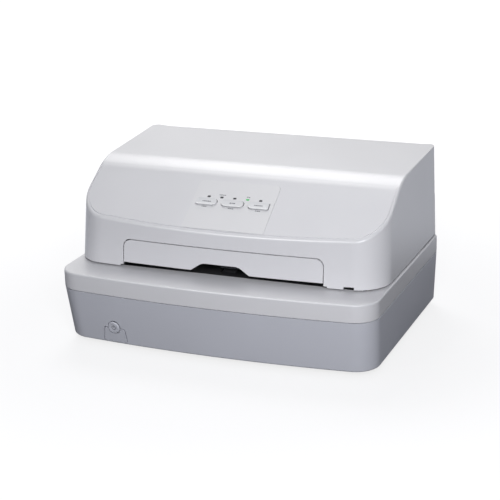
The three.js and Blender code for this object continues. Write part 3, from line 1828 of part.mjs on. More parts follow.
piece(
  "ribbon_cartridge",
  cut(
    join(
      block([-cartridgeHalf, cartridgeFront, cartridgeFoot], [cartridgeHalf, cartridgeRear, cartridgeTop]),
      ...sides.map(cartridgeArm),
    ),
    bar(
      "z",
      [knobX, knobY],
      knobStem + running,
      cartridgeTop - knobStemDepth - fit,
      cartridgeTop + overrun,
      smallDiscSides,
    ),
  ),
  blackPlastic,
);
piece(
  "ribbon",
  block(
    [-ribbonHalf, printLine - ribbonHalfWidth, ribbonHeight],
    [ribbonHalf, printLine + ribbonHalfWidth, ribbonHeight + ribbonThickness],
  ),
  inkFabric,
);
piece(
  "ribbon_knob",
  join(
    bar("z", [knobX, knobY], knobRadius, cartridgeTop + fit, cartridgeTop + fit + knobRise),
    bar(
      "z",
      [knobX, knobY],
      knobStem,
      cartridgeTop - knobStemDepth,
      cartridgeTop + fit + wall,
      smallDiscSides,
    ),
  ),
  whitePlastic,
);

// Release shaft with a green lever at each end, between the upper frame and the side frames
const leverGap = 0.5;
const leverThickness = frameHalf - cheekOuter - 2 * leverGap;
const leverHub = 6;
const leverLength = 15;
const leverTop = releaseZ + leverLength;
const leverHalf = 4;
const leverGrip = 4.5;
const gripHeight = 6;
piece(
  "release_shaft",
  bar(
    "x",
    [releaseY, releaseZ],
    releaseRadius,
    -frameHalf + leverGap,
    frameHalf - leverGap,
    smallDiscSides,
  ),
  steel,
);
function lever(side) {
  const inner = side * (cheekOuter + leverGap);
  const x0 = side > 0 ? inner : inner - leverThickness;
  const x1 = x0 + leverThickness;
  return cut(
    join(
      bar("x", [releaseY, releaseZ], leverHub, x0, x1),
      block([x0, releaseY - leverHalf, releaseZ], [x1, releaseY + leverHalf, leverTop]),
      block([x0, releaseY - leverGrip, leverTop - gripHeight], [x1, releaseY + leverGrip, leverTop]),
    ),
    bar("x", [releaseY, releaseZ], releaseRadius + fit, x0 - overrun, x1 + overrun, smallDiscSides),
  );
}
piece("release_lever_left", lever(-1), greenPlastic);
piece("release_lever_right", lever(1), greenPlastic);

export default printer;
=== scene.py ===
import bpy
import math
from mathutils import Matrix, Vector


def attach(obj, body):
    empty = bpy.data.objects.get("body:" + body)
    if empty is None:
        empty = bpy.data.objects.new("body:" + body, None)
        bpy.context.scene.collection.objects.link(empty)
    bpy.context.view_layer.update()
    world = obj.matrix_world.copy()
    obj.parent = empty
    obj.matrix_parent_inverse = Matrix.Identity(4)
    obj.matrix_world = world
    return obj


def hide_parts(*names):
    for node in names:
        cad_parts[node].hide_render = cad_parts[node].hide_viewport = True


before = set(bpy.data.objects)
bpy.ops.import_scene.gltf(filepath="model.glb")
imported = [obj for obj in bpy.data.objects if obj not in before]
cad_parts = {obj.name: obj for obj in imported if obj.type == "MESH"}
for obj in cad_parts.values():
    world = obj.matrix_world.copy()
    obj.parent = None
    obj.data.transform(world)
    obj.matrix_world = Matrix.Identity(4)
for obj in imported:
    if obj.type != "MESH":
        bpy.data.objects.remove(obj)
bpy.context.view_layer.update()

# Base tub
# The lower half of the casing, injection moulded in cool light grey ABS with a fine texture. Its front is
# bowed and slants back towards the counter. The ways of shaping and colouring that all the sections share
# come first. All sizes are in millimetres.
mm = 0.001


def only(piece):
    """Selects one piece and makes it the active one."""
    if bpy.context.object and bpy.context.object.mode != "OBJECT":
        bpy.ops.object.mode_set(mode="OBJECT")
    bpy.ops.object.select_all(action="DESELECT")
    piece.select_set(True)
    bpy.context.view_layer.objects.active = piece


def block(name, low, high):
    """A box between two corners, the start of a piece."""
    bpy.ops.object.select_all(action="DESELECT")
    middle = [(a + b) / 2 * mm for a, b in zip(low, high)]
    size = [abs(b - a) * mm for a, b in zip(low, high)]
    bpy.ops.mesh.primitive_cube_add(size=1, location=middle, scale=size)
    piece = bpy.context.object
    piece.name = name
    bpy.ops.object.transform_apply(location=True, rotation=True, scale=True)
    return piece


def pick(piece, kind, wanted):
    """Goes into edit mode with the vertices, edges or faces selected for which wanted(item, points) holds."""
    only(piece)
    bpy.context.tool_settings.mesh_select_mode = [kind == k for k in ("VERT", "EDGE", "FACE")]
    mesh = piece.data
    for items in (mesh.vertices, mesh.edges, mesh.polygons):
        for item in items:
            item.select = False
    where = [v.co / mm for v in mesh.vertices]
    if kind == "VERT":
        for v in mesh.vertices:
            v.select = bool(wanted(v, [where[v.index]]))
    else:
        for item in mesh.edges if kind == "EDGE" else mesh.polygons:
            item.select = bool(wanted(item, [where[i] for i in item.vertices]))
    bpy.ops.object.mode_set(mode="EDIT")


def leave():
    bpy.ops.object.mode_set(mode="OBJECT")


def slide(piece, wanted, offset):
    """Moves the vertices for which wanted(point) holds."""
    pick(piece, "VERT", lambda v, p: wanted(p[0]))
    bpy.ops.transform.translate(value=[c * mm for c in offset])
    leave()


def saw(piece, point, normal, keep_below=False):
    """Cuts the piece through along a plane; with keep_below the part on the normal's side goes."""
    pick(piece, "FACE", lambda f, p: True)
    bpy.ops.mesh.bisect(
        plane_co=[c * mm for c in point],
        plane_no=normal,
        use_fill=keep_below,
        clear_outer=keep_below,
        clear_inner=False,
    )
    leave()


def bevel_picked(width, segments):
    """Rounds the edges that are picked and leaves edit mode."""
    bpy.ops.mesh.bevel(offset=width * mm, segments=segments, profile=0.5, affect="EDGES", clamp_overlap=False)
    leave()


def round_edges(piece, wanted, width, segments):
    """Rounds the edges for which wanted(start, end) holds."""
    pick(piece, "EDGE", lambda e, p: wanted(*p))
    bevel_picked(width, segments)


def shared_edges(piece, one, other):
    """The edges between the faces for which one(normal) holds and those for which other(normal) holds."""

    def touching(wanted):
        return {key for f in piece.data.polygons if wanted(f.normal) for key in f.edge_keys}

    return touching(one) & touching(other)


def draw_in(piece, wanted, middle, by):
    """Moves the points for which wanted(point) holds towards the middle, from left and right."""
    for side in (-1, 1):
        slide(piece, lambda p: wanted(p) and (p.x - middle) * side > 0, (-side * by, 0, 0))


def clean(piece):
    """Merges points that fell together and turns every face outwards."""
    pick(piece, "FACE", lambda f, p: True)
    bpy.ops.mesh.remove_doubles(threshold=0.002 * mm)
    bpy.ops.mesh.normals_make_consistent(inside=False)
    leave()
    return piece


def upright(a, b):
    """Tells an edge that runs more or less upwards."""
    return abs(a.z - b.z) > 3 and math.hypot(a.x - b.x, a.y - b.y) < 0.6 * abs(a.z - b.z)


def fore_aft(a, b):
    """Tells an edge that runs from front to rear."""
    return abs(a.y - b.y) > 5


bow_steps, corner_segments, rear_corner_segments = 6, 12, 6


def casing_blank(name, low, high, rear, corner, rear_corner):
    """A casing blank between two levels, each (height, half width, front, bow): a box sawn upright and
    pushed out into the bow place by place, with its upright corners rounded."""
    start = low[1]
    middle = (low[2] + rear) / 2
    blank = block(name, (-start, low[2], low[0]), (start, rear, high[0]))
    last = 1 - (corner + 3) / start
    for step in range(-bow_steps, bow_steps + 1):
        saw(blank, (start * last * step / bow_steps, 0, 0), (1, 0, 0))
    for height, half, front, bow in (low, high):
        for share in [last * step / bow_steps for step in range(bow_steps + 1)] + [1]:
            slide(
                blank,
                lambda p: abs(p.z - height) < 0.1 and p.y < middle and abs(abs(p.x) - share * start) < 0.1,
                (0, front + bow * share**2 - low[2], 0),
            )
        for side in (-1, 1):
            slide(
                blank,
                lambda p: abs(p.z - height) < 0.1 and abs(p.x - side * start) < 0.1,
                (side * (half - start), 0, 0),
            )
    for at_front, radius, segments in (
        (True, corner, corner_segments),
        (False, rear_corner, rear_corner_segments),
    ):
        round_edges(
            blank,
            lambda a, b: upright(a, b)
            and min(abs(a.x), abs(b.x)) > start - 9
            and (a.y < middle) == at_front,
            radius,
            segments,
        )
    return clean(blank)


def walls(name, level, low, high, rear, corners, inset=0):
    """A casing blank between two heights, taken in all round by a wall."""
    front_corner, rear_corner = corners
    return casing_blank(
        name, level(low, inset), level(high, inset), rear - inset, front_corner - inset, rear_corner - inset
    )


def finish_with(piece, kind, **settings):
    """Adds a modifier with its settings and applies it."""
    only(piece)
    modifier = piece.modifiers.new(kind.lower(), kind)
    for key, value in settings.items():
        setattr(modifier, key, value)
    bpy.ops.object.modifier_apply(modifier=modifier.name)


def carve(piece, tool, operation="DIFFERENCE"):
    """Cuts, joins or intersects a piece with a tool, which is used up."""
    finish_with(piece, "BOOLEAN", object=tool, operation=operation, solver="EXACT")
    bpy.data.objects.remove(tool)
    return piece


def repeat(piece, count, pitch):
    """Repeats a piece along X at a pitch."""
    finish_with(
        piece,
        "ARRAY",
        count=count,
        use_relative_offset=False,
        use_constant_offset=True,
        constant_offset_displace=(pitch * mm, 0, 0),
    )


def soften(piece, width, segments=2, angle=35):
    """Breaks the sharp edges of a moulded or cut piece and shades its round faces smooth."""
    finish_with(
        piece,
        "BEVEL",
        width=width * mm,
        segments=segments,
        limit_method="ANGLE",
        angle_limit=math.radians(angle),
        use_clamp_overlap=True,
        miter_outer="MITER_ARC",
    )
    smooth(piece)
    finish_with(piece, "WEIGHTED_NORMAL", keep_sharp=True, weight=60)
    return piece


def smooth(piece, angle=32):
    """Shades the round faces of a piece smooth."""
    only(piece)
    bpy.ops.object.shade_smooth_by_angle(angle=math.radians(angle))
    return piece


def put(piece, place):
    """Moves a piece that was made at the origin to its place."""
    only(piece)
    piece.matrix_world = place
    bpy.ops.object.transform_apply(location=True, rotation=True, scale=True)
    return piece


def along(axis, centre=(0, 0, 0)):
    """The place of something made round the Z axis that shall lie along an axis through a centre."""
    turn = {
        "x": Matrix(((0, 0, 1), (1, 0, 0), (0, 1, 0))),
        "y": Matrix(((0, 1, 0), (0, 0, 1), (1, 0, 0))),
        "z": Matrix.Identity(3),
    }[axis]
    return Matrix.Translation(Vector(centre) * mm) @ turn.to_4x4()


def turned(name, stations, sides=48):
    """A turned piece round the Z axis from (place, radius) stations: a disc, extruded and resized step by
    step."""
    bpy.ops.object.select_all(action="DESELECT")
    at, radius = stations[0]
    bpy.ops.mesh.primitive_circle_add(
        vertices=sides, radius=radius * mm, fill_type="NGON", location=(0, 0, at * mm)
    )
    piece = bpy.context.object
    piece.name = name
    bpy.ops.object.transform_apply(location=True)
    pick(piece, "FACE", lambda f, p: True)
    for place, wide in stations[1:]:
        bpy.ops.mesh.extrude_region_move(TRANSFORM_OT_translate={"value": (0, 0, (place - at) * mm)})
        bpy.ops.transform.resize(value=(wide / radius, wide / radius, 1), center_override=(0, 0, place * mm))
        at, radius = place, wide
    leave()
    return clean(piece)


def dowel(name, low, high, radius, sides=32, place=Matrix()):
    """A plain round bar between two places on its axis."""
    ends = sorted((low, high))
    return put(turned(name, [(ends[0], radius), (ends[1], radius)], sides), place)


def drill(piece, low, high, radius, sides=32, place=Matrix()):
    """Cuts a round hole between two places on its axis."""
    return carve(piece, dowel("drill", low, high, radius, sides, place))


def surface(name, colour, roughness, metallic=0.0):
    """A new node material with its shader, ready for its pattern."""
    made = bpy.data.materials.new(name)
    made.use_nodes = True
    shader = made.node_tree.nodes["Principled BSDF"]
    shader.inputs["Base Color"].default_value = (*colour, 1)
    shader.inputs["Roughness"].default_value = roughness
    shader.inputs["Metallic"].default_value = metallic
    return made, shader


def node(owner, kind, **values):
    """One node of a material or the world with its inputs or settings filled in."""
    made = owner.node_tree.nodes.new("ShaderNode" + kind)
    for key, value in values.items():
        if key in made.inputs:
            made.inputs[key].default_value = value
        else:
            setattr(made, key, value)
    return made


def wire(owner, source, output, target, socket):
    owner.node_tree.links.new(source.outputs[output], target.inputs[socket])


def pattern(owner, kind, **values):
    """A texture that lies on the piece's own coordinates."""
    made = node(owner, "Tex" + kind, **values)
    wire(owner, node(owner, "TexCoord"), "Object", made, "Vector")
    return made


def relief(owner, source, output, shader, strength, depth):
    """Leads a pattern to the shader as fine relief."""
    bump = node(owner, "Bump", Strength=strength, Distance=depth)
    wire(owner, source, output, bump, "Height")
    wire(owner, bump, "Normal", shader, "Normal")


def blend(owner, source, output, low, high):
    """A blend of two colours by a pattern; its colour is output 2."""
    made = node(owner, "Mix", data_type="RGBA")
    made.inputs[6].default_value = (*low, 1)
    made.inputs[7].default_value = (*high, 1)
    wire(owner, source, output, made, 0)
    return made


def shades(owner, source, output, low, high, shader):
    """Leads a pattern to the colour, as a blend of two shades."""
    wire(owner, blend(owner, source, output, low, high), 2, shader, "Base Color")


def mapped(owner, source, output, low, high, start=0.0, end=1.0):
    """A value led over from one range to another."""
    made = node(owner, "MapRange")
    for socket, value in (("From Min", start), ("From Max", end), ("To Min", low), ("To Max", high)):
        made.inputs[socket].default_value = value
    wire(owner, source, output, made, "Value")
    return made


def gloss(owner, source, output, low, high, shader):
    """Leads a pattern to the roughness, between two values."""
    wire(owner, mapped(owner, source, output, low, high), "Result", shader, "Roughness")


def linear(red, green, blue):
    """A colour read off as 0 to 255, as the shader wants it."""
    return [((c / 255 + 0.055) / 1.055) ** 2.4 if c > 10 else c / 255 / 12.92 for c in (red, green, blue)]


def shade(colour, share):
    """A colour made darker or lighter."""
    return [min(1, c * share) for c in colour]


def moulded(name, colour, roughness, grain=0.35, cloud=0.03):
    """Moulded plastic: a fine spark-eroded grain, slight clouds of shade and a little uneven gloss."""
    plastic, shader = surface(name, colour, roughness)
    fine = pattern(plastic, "Noise", Scale=1400, Detail=3, Roughness=0.6)
    wide = pattern(plastic, "Noise", Scale=14, Detail=3, Roughness=0.5)
    relief(plastic, fine, "Fac", shader, grain, 0.00006)
    shades(plastic, wide, "Fac", shade(colour, 1 - cloud), shade(colour, 1 + cloud), shader)
    gloss(plastic, wide, "Fac", roughness - 0.05, roughness + 0.06, shader)
    return plastic


casing_plastic = moulded("casing_plastic", linear(211, 210, 213), 0.34)
# the tub's copy of the casing plastic, painted darker and bluer as shade on the lower base
tub_plastic_painted_shade = moulded("tub_plastic_painted_shade", linear(197, 198, 206), 0.42)


def dress(piece, look, body, *nodes, slot=None):
    """Gives a finished piece its material, hides the solid it stands for and lets it ride on its body."""
    piece.data.materials.clear()
    piece.data.materials.append(look)
    if nodes:
        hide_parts(*nodes)
    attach(piece, body)
    return piece


foot_height, seam, tub_top, wall, gap = 7.5, 70, 69.2, 2.5, 0.3
base_half, base_front, base_rear, base_bow, base_corners = 192, -140, 140, 11, (25, 10)
front_slant, side_slant = 11, 3
inlet_size, serial_size, usb_size = (-110, 37, 14, 10.5), (40, 30.8, 15.5, 6.2), (88, 30.3, 6.2, 5.7)


def base_level(height, inset=0):
    """How wide the base is at a height, where its front lies and how far it bows, taken in by a wall."""
    below = max(0, (seam - height) / (seam - foot_height))
    return (
        height, base_half - side_slant * below - inset, base_front + front_slant * below + inset, base_bow
    )


tub = walls("tub", base_level, foot_height, tub_top, base_rear, base_corners)
round_edges(
    tub,
    lambda a, b: max(a.z, b.z) < foot_height + 0.1
    and max(abs(a.x - b.x), abs(a.y - b.y)) > 0
    and not (a.y * b.y < 0 and abs(a.x - b.x) < 1 and abs(a.x) < 185),
    2,
    4,
)
inside = walls("inside", base_level, foot_height + wall, tub_top, base_rear, base_corners, wall)
slide(inside, lambda p: p.z > tub_top - 0.1, (0, 0, 5))
carve(tub, inside)

# the tab under the power key and the round hole for the key itself
key_x, key_z, key_hole, tab_lean = -121.5, 28.5, 8.3, 1.8
tab = block("tab", (key_x - 16, -150, 10), (key_x + 16, -120, 28))
draw_in(tab, lambda p: p.z > 20, key_x, tab_lean)
round_edges(tab, lambda a, b: min(a.z, b.z) > 20 and fore_aft(a, b), 2.2, 4)
carve(tub, tab)
lean = front_slant / (seam - foot_height)
key_middle = Vector((key_x, base_front + base_bow * (key_x / base_half) ** 2 + lean * (seam - key_z), key_z))
key_out = Vector((2 * base_bow * key_x / base_half**2, -1, -lean)).normalized()
key_across = Vector((0, 0, 1)).cross(key_out).normalized()
key_place = Matrix((key_across, key_out.cross(key_across), key_out)).transposed().to_4x4()
key_place.translation = key_middle * mm
drill(tub, -10, 10, key_hole, 64, key_place)

# openings for the mains, serial and USB sockets in the rear wall
for x, z, across, up in (inlet_size, serial_size, usb_size):
    low, high = (x - across - gap, 130, z - up - gap), (x + across + gap, 150, z + up + gap)
    hole = block("socket_hole", low, high)
    round_edges(hole, fore_aft, 1, 3)
    carve(tub, hole)
soften(tub, 0.45, 3)
# the tub wears the casing plastic with painted shade
dress(tub, tub_plastic_painted_shade, "base", "base_tub", slot="casing_plastic")

# Feet
# Four round rubber feet, pushed into the underside of the tub. Each has a chamfered tread with a ring
# groove.
foot_x, foot_front, foot_rear = 150, -86, 108


def rubbery(name, colour, roughness=0.8):
    """Rubber: dull, with a fine dusty grain and slightly paler where it rubs."""
    rubber, shader = surface(name, colour, roughness)
    fine = pattern(rubber, "Noise", Scale=900, Detail=4, Roughness=0.65)
    dust = pattern(rubber, "Noise", Scale=60, Detail=4, Roughness=0.6)
    relief(rubber, fine, "Fac", shader, 0.4, 0.0001)
    shades(rubber, dust, "Fac", shade(colour, 0.8), shade(colour, 1.5), shader)
    gloss(rubber, dust, "Fac", roughness - 0.08, roughness + 0.1, shader)
    return rubber


foot_rubber = rubbery("foot_rubber", linear(38, 38, 40))
foot_shape = [
    (7.5, 7.6), (6.6, 8.6), (1.2, 9), (0.4, 8.6), (0, 7.9), (0, 5.2), (0.7, 4.9), (0.7, 3.4), (0, 3.1), (0, 1)
]
for row, y in (("front", foot_front), ("rear", foot_rear)):
    for side, x in (("left", -foot_x), ("right", foot_x)):
        name = "foot_%s_%s" % (row, side)
        foot = put(turned(name + "_pad", foot_shape, 48), along("z", (x, y, 0)))
        dress(smooth(foot, 40), foot_rubber, "base", name, slot="rubber")

# Power key and its bezel
# The bezel is a tab of the same plastic behind the tub's front, with a short tunnel round the key.
# The key is a round cap on a stem that presses the mains switch behind it.
plate_inset = wall + gap
bezel_depth = plate_inset + 2
bezel_foot, bezel_top, plate_top, bezel_half, plate_half = 10.3, 27, 39.3, 15, 18


def behind_front(name, top):
    """The room behind the bezel or its plate, a little higher and lower than it."""
    levels = base_level(bezel_foot - 5.3, bezel_depth), base_level(top, bezel_depth)
    return casing_blank(name, *levels, -5, 20, 8)


bezel = casing_blank("power_key_bezel", base_level(bezel_foot), base_level(bezel_top), 0, 25, 10)
carve(bezel, behind_front("hollow", bezel_top + 5))
face = block("face", (key_x - bezel_half, -150, bezel_foot), (key_x + bezel_half, -60, bezel_top))
draw_in(face, lambda p: p.z > 20, key_x, tab_lean)
round_edges(face, lambda a, b: min(a.z, b.z) > 20 and fore_aft(a, b), 2, 4)
carve(bezel, face, "INTERSECT")
levels = base_level(bezel_foot, plate_inset), base_level(plate_top, plate_inset)
back_plate = casing_blank("back_plate", *levels, 0, 22, 10)
carve(back_plate, behind_front("hollow", plate_top + 5.7))
low, high = (key_x - plate_half, -150, bezel_foot + 0.1), (key_x + plate_half, -60, plate_top - 0.1)
carve(back_plate, block("window", low, high), "INTERSECT")
carve(bezel, back_plate, "UNION")
drill(bezel, -plate_inset, 6, key_hole, 64, key_place)
drill(bezel, -20, 6, 3.3, 32, key_place)
soften(bezel, 0.35, 3)
# the bezel wears the tub's plastic with painted shade
dress(bezel, tub_plastic_painted_shade, "base", "power_bezel", slot="casing_plastic")

key_plastic = moulded("key_plastic", linear(212, 212, 214), 0.42, grain=0.15, cloud=0.02)
power_key = turned(
    "power_key_cap",
    [
        (-12.5, 2.6), (-12.1, 3), (-0.8, 3), (-0.8, 6.9), (-0.5, 7.25), (0.7, 7.3), (1.25, 7.05), (1.5, 6.5),
        (1.45, 6.1), (1.05, 5.95), (1.05, 5.45), (1.4, 5.3), (1.25, 3.5), (1.2, 1),
    ],
    64,
)
# the power key wears the tub's plastic with painted shade, not its own key plastic
dress(smooth(put(power_key, key_place), 50), tub_plastic_painted_shade, "power_key", "power_button", slot="key_plastic")

# the mark on the key: a plain ring with a bar, printed in grey
ink_grey = moulded("printed_grey", linear(96, 97, 104), 0.5, grain=0.05)
ring = turned("power_mark", [(1.2, 2.7), (1.31, 2.7)], 40)
drill(ring, 1, 1.5, 2.1, 40)
bar = block("bar", (-0.22, 0.2, 1.15), (0.22, 3.4, 1.31))
round_edges(bar, lambda a, b: abs(a.z - b.z) > 0.1, 0.2, 3)
carve(ring, bar, "UNION")
dress(put(ring, key_place), ink_grey, "power_key")

# Power switch
# The mains switch behind the key, a black snap-in body clipped to the bezel's back plate.
black_plastic = moulded("black_plastic", linear(30, 30, 32), 0.42)


def recoat(look, *names):
    """Gives pieces that stay as they were folded, ground or moulded their finish."""
    for name in names:
        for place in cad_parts[name].material_slots:
            place.material = look


recoat(black_plastic, "power_switch")

# Mains inlet
# A black moulded inlet with two chamfered corners and three tin-plated blades, clipped in from the inside.
socket_face, socket_seat = 139.5, 137.2


def socket_body(name, size, inward, corner):
    """The body of a socket with its flange behind the rear wall."""
    x, z, across, up = size
    body = block(name, (x - across, socket_face - inward, z - up), (x + across, socket_face, z + up))
    round_edges(body, fore_aft, corner, 5)
    flange = block("flange", (x - across - 3, socket_seat - 2, z - up), (x + across + 3, socket_seat, z + up))
    round_edges(flange, lambda a, b: abs(a.y - b.y) > 1, 1.5, 4)
    return carve(body, flange, "UNION")


def gather(name, pieces):
    """Joins loose pieces of one kind into one object."""
    only(pieces[0])
    for one in pieces[1:]:
        one.select_set(True)
    bpy.ops.object.join()
    pieces[0].name = name
    return pieces[0]


inlet = socket_body("mains_inlet", inlet_size, 22, 2)
inlet_x, inlet_z = inlet_size[:2]
recess = block("recess", (inlet_x - 11, 124.5, inlet_z - 7.5), (inlet_x + 11, 145, inlet_z + 7.5))
round_edges(recess, lambda a, b: fore_aft(a, b) and a.z > inlet_z, 3.4, 1)
round_edges(recess, lambda a, b: fore_aft(a, b) and a.z < inlet_z, 1, 3)
carve(inlet, recess)
soften(inlet, 0.35, 2)
dress(inlet, black_plastic, "base", "power_inlet", slot="black_plastic")


def zinc_plated(name):
    """Zinc-plated sheet: pale crystals of slightly different shade under a fine rolled grain."""
    sheet, shader = surface(name, (0.6, 0.61, 0.6), 0.4, 1.0)
    crystals = pattern(sheet, "Voronoi", Scale=130)
    rolled = pattern(sheet, "Noise", Scale=700, Detail=3, Roughness=0.6)
    parts = node(sheet, "SeparateColor")
    wire(sheet, crystals, "Color", parts, "Color")
    relief(sheet, rolled, "Fac", shader, 0.12, 0.00004)
    shades(sheet, parts, "Red", (0.5, 0.51, 0.51), (0.67, 0.68, 0.66), shader)
    gloss(sheet, parts, "Green", 0.32, 0.5, shader)
    return sheet


zinc_plate = zinc_plated("zinc_plate")
blades = []
for x, z in ((inlet_x - 7, inlet_z - 2), (inlet_x, inlet_z + 2), (inlet_x + 7, inlet_z - 2)):
    blade = block("blade", (x - 1, 122, z - 2), (x + 1, 135.5, z + 2))
    round_edges(blade, lambda a, b: min(a.y, b.y) > 135, 0.7, 3)
    blades.append(blade)
dress(smooth(gather("mains_inlet_blades", blades)), zinc_plate, "base")

# Serial and USB sockets
# Plated steel shells soldered to the main board: one slanted shell with nine pins between two hexagon
# nuts, and one square shell with a tongue.
serial = socket_body("serial_socket", serial_size, 14, 1)
serial_x, serial_z = serial_size[:2]
throat = block("throat", (serial_x - 8.6, 133.5, serial_z - 4.2), (serial_x + 8.6, 145, serial_z + 4.2))
draw_in(throat, lambda p: p.z < serial_z, serial_x, 1.2)
round_edges(throat, fore_aft, 1.6, 4)
carve(serial, throat)
soften(serial, 0.3, 2)
dress(serial, zinc_plate, "base", "serial_port", slot="steel")
pins = []
for row, count in ((1.4, 5), (-1.4, 4)):
    for i in range(count):
        x = serial_x + (i - (count - 1) / 2) * 2.75
        pin = turned("pin", [(0, 0.5), (4.4, 0.5), (4.9, 0.25)], 16)
        pins.append(put(pin, along("y", (x, 133.4, serial_z + row))))
for side in (-1, 1):
    nut = turned("nut", [(-1, 2.4), (0.25, 2.4), (0.4, 2.1)], 6)
    pins.append(put(nut, along("y", (serial_x + side * 12.4, socket_face, serial_z))))
dress(smooth(gather("serial_pins", pins)), zinc_plate, "base")
usb = socket_body("usb_socket", usb_size, 16, 0.6)
usb_x, usb_z = usb_size[:2]
throat = block("throat", (usb_x - 5.4, 130.5, usb_z - 4.9), (usb_x + 5.4, 145, usb_z + 4.9))
round_edges(throat, lambda a, b: fore_aft(a, b) and a.z > usb_z, 1.5, 1)
carve(usb, throat)
soften(usb, 0.2, 2)
dress(usb, zinc_plate, "base", "usb_port", slot="steel")
tongue = block("usb_tongue", (usb_x - 2.8, 130, usb_z - 1.6), (usb_x + 2.8, 138.4, usb_z + 1.6))
dress(soften(tongue, 0.4, 2), black_plastic, "base")

# Chassis plate and side frames
# Zinc-plated steel sheet, punched and folded. The plate screws onto four posts of the tub, and each
# side frame stands on it on a folded flange held by three screws.
recoat(zinc_plate, "chassis_plate", "side_frame_left", "side_frame_right")


def metal(name, colour, roughness, stretch=(1, 1, 1), grain=0.15, spread=0.12):
    """Metal with a drawn or rolled grain, stretched along the way it was worked, and faint stains."""
    made, shader = surface(name, colour, roughness, 1.0)
    lines = node(made, "TexNoise", Scale=900, Detail=3, Roughness=0.6)
    laid = node(made, "Mapping", vector_type="POINT", Scale=stretch)
    wire(made, node(made, "TexCoord"), "Object", laid, "Vector")
    wire(made, laid, "Vector", lines, "Vector")
    stain = pattern(made, "Noise", Scale=35, Detail=4, Roughness=0.6)
    relief(made, lines, "Fac", shader, grain, 0.00004)
    shades(made, stain, "Fac", shade(colour, 1 - spread), shade(colour, 1 + spread), shader)
    gloss(made, lines, "Fac", roughness - 0.08, roughness + 0.1, shader)
    return made


screw_steel = metal("screw_steel", (0.56, 0.57, 0.58), 0.35)

pan_head = turned("pan_head", [(-1, 0.55), (0, 0.55), (0, 1), (0.25, 0.96), (0.48, 0.72), (0.56, 0.3)], 32)
for wide, deep in ((0.14, 0.62), (0.62, 0.14)):
    carve(pan_head, block("bit", (-wide, -deep, 0.2), (wide, deep, 1)))
smooth(pan_head, 40)


def copy_of(master, name):
    """One more of a piece that is already made, with a mesh of its own."""
    made = master.copy()
    made.data = master.data.copy()
    made.name = name
    bpy.context.scene.collection.objects.link(made)
    return made


def screw(name, place, radius, body):
    """A pan head screw with a cross recess, its head on the plane of its place."""
    return dress(put(copy_of(pan_head, name), place @ Matrix.Scale(radius, 4)), screw_steel, body)


def screws(name, axis, spots, radius, body):
    """A numbered set of screws of one size that all point the same way."""
    for number, spot in enumerate(spots, 1):
        screw("%s_%d" % (name, number), along(axis, spot), radius, body)


flange_x, flange_top = 152, 17.8
for word, x in (("left", -flange_x), ("right", flange_x)):
    screws("side_frame_screw_" + word, "z", [(x, y, flange_top) for y in (-66, 10, 88)], 3, "base")

# Feed motor
# A square stepping motor: two cast end caps, a stack of steel laminations between them, a ground shaft,
# and a white plug for its wires. Four screws hold it to the right side frame from outside.
white_plastic = moulded("white_acetal", linear(226, 224, 214), 0.4, grain=0.06, cloud=0.02)
cast_aluminium = metal("cast_aluminium", (0.62, 0.63, 0.64), 0.42, grain=0.35, spread=0.08)
bright_steel = metal("bright_steel", (0.62, 0.63, 0.65), 0.24, stretch=(0.05, 1, 1))


def laminated(name, way):
    """Stacked laminations: thin dark lines between sheets of steel, one sheet every half millimetre."""
    stack, shader = surface(name, (0.36, 0.36, 0.37), 0.42, 1.0)
    sheets = pattern(stack, "Wave", Scale=320, wave_type="BANDS", bands_direction=way)
    relief(stack, sheets, "Fac", shader, 0.6, 0.00012)
    shades(stack, sheets, "Fac", (0.16, 0.16, 0.17), (0.44, 0.44, 0.45), shader)
    gloss(stack, sheets, "Fac", 0.36, 0.55, shader)
    return stack


def plug(name, low, high, mouth_low, mouth_high, edge=0.3):
    """The shell of a wire plug with its mouth."""
    shell = block(name, low, high)
    carve(shell, block("mouth", mouth_low, mouth_high))
    return soften(shell, edge, 2)


def stepper(name, cad, place, way, body, half, length, pilot, shaft_radius, shaft_end):
    """A stepping motor whose face lies on its place, the shaft pointing out of it."""
    ends = []
    for low, high in ((-length, 9 - length), (-7, 0)):
        cap = block("cap", (-half, -half, low), (half, half, high))
        round_edges(cap, lambda a, b: abs(a.z - b.z) > 3, half * 0.2, 1)
        ends.append(soften(cap, 0.5, 2))
    ends.append(turned("pilot", [(-0.5, pilot), (1.3, pilot), (1.6, pilot - 0.3)], 64))
    caps = gather(name + "_caps", ends)
    dress(put(smooth(caps), place), cast_aluminium, body, cad, slot="aluminium")
    stack = block(name + "_stack", (0.8 - half, 0.8 - half, 9 - length), (half - 0.8, half - 0.8, -7))
    round_edges(stack, lambda a, b: abs(a.z - b.z) > 3, half * 0.2, 1)
    dress(put(stack, place), laminated(name + "_laminations", way), body)
    shaft = [(0, shaft_radius), (shaft_end - 0.5, shaft_radius), (shaft_end, shaft_radius - 0.5)]
    dress(smooth(put(turned(name + "_shaft", shaft, 32), place)), bright_steel, body)
    outside = (-7, -half - 4.5, 1 - length), (7, -half, 8 - length)
    mouth = (-6, -half - 4.4, -length), (6, -half - 1, 6.8 - length)
    dress(put(plug(name + "_plug", *outside, *mouth, edge=0.25), place), white_plastic, body)


motor_y, motor_z, frame_inside, frame_outside = -30, 50, 159.7, 162
feed_motor_place = along("x", (frame_inside, motor_y, motor_z))
stepper("feed_stepper", "feed_motor", feed_motor_place, "X", "base",
        half=21, length=36, pilot=11, shaft_radius=2.5, shaft_end=9.75)
hole_pitch = 31
corners = [
    (frame_outside, motor_y + dy * hole_pitch / 2, motor_z + dz * hole_pitch / 2)
    for dy, dz in ((-1, -1), (1, -1), (1, 1), (-1, 1))
]
screws("feed_motor_screw", "x", corners, 2.4, "base")

# Feed pulleys and belt
# White acetal pulleys, toothed between two flanges, pressed on the motor's shaft and the two feed
# shafts. One black toothed belt runs round all three outside the right side frame.
pulley_inner, pulley_width, tooth_depth, belt_side = 162.45, 7, 0.75, 1.3
feed_z, front_shaft_y, rear_shaft_y, motor_radius, feed_radius = 82.2, -62, 2, 6, 14
motor_teeth, feed_teeth = 17, 37


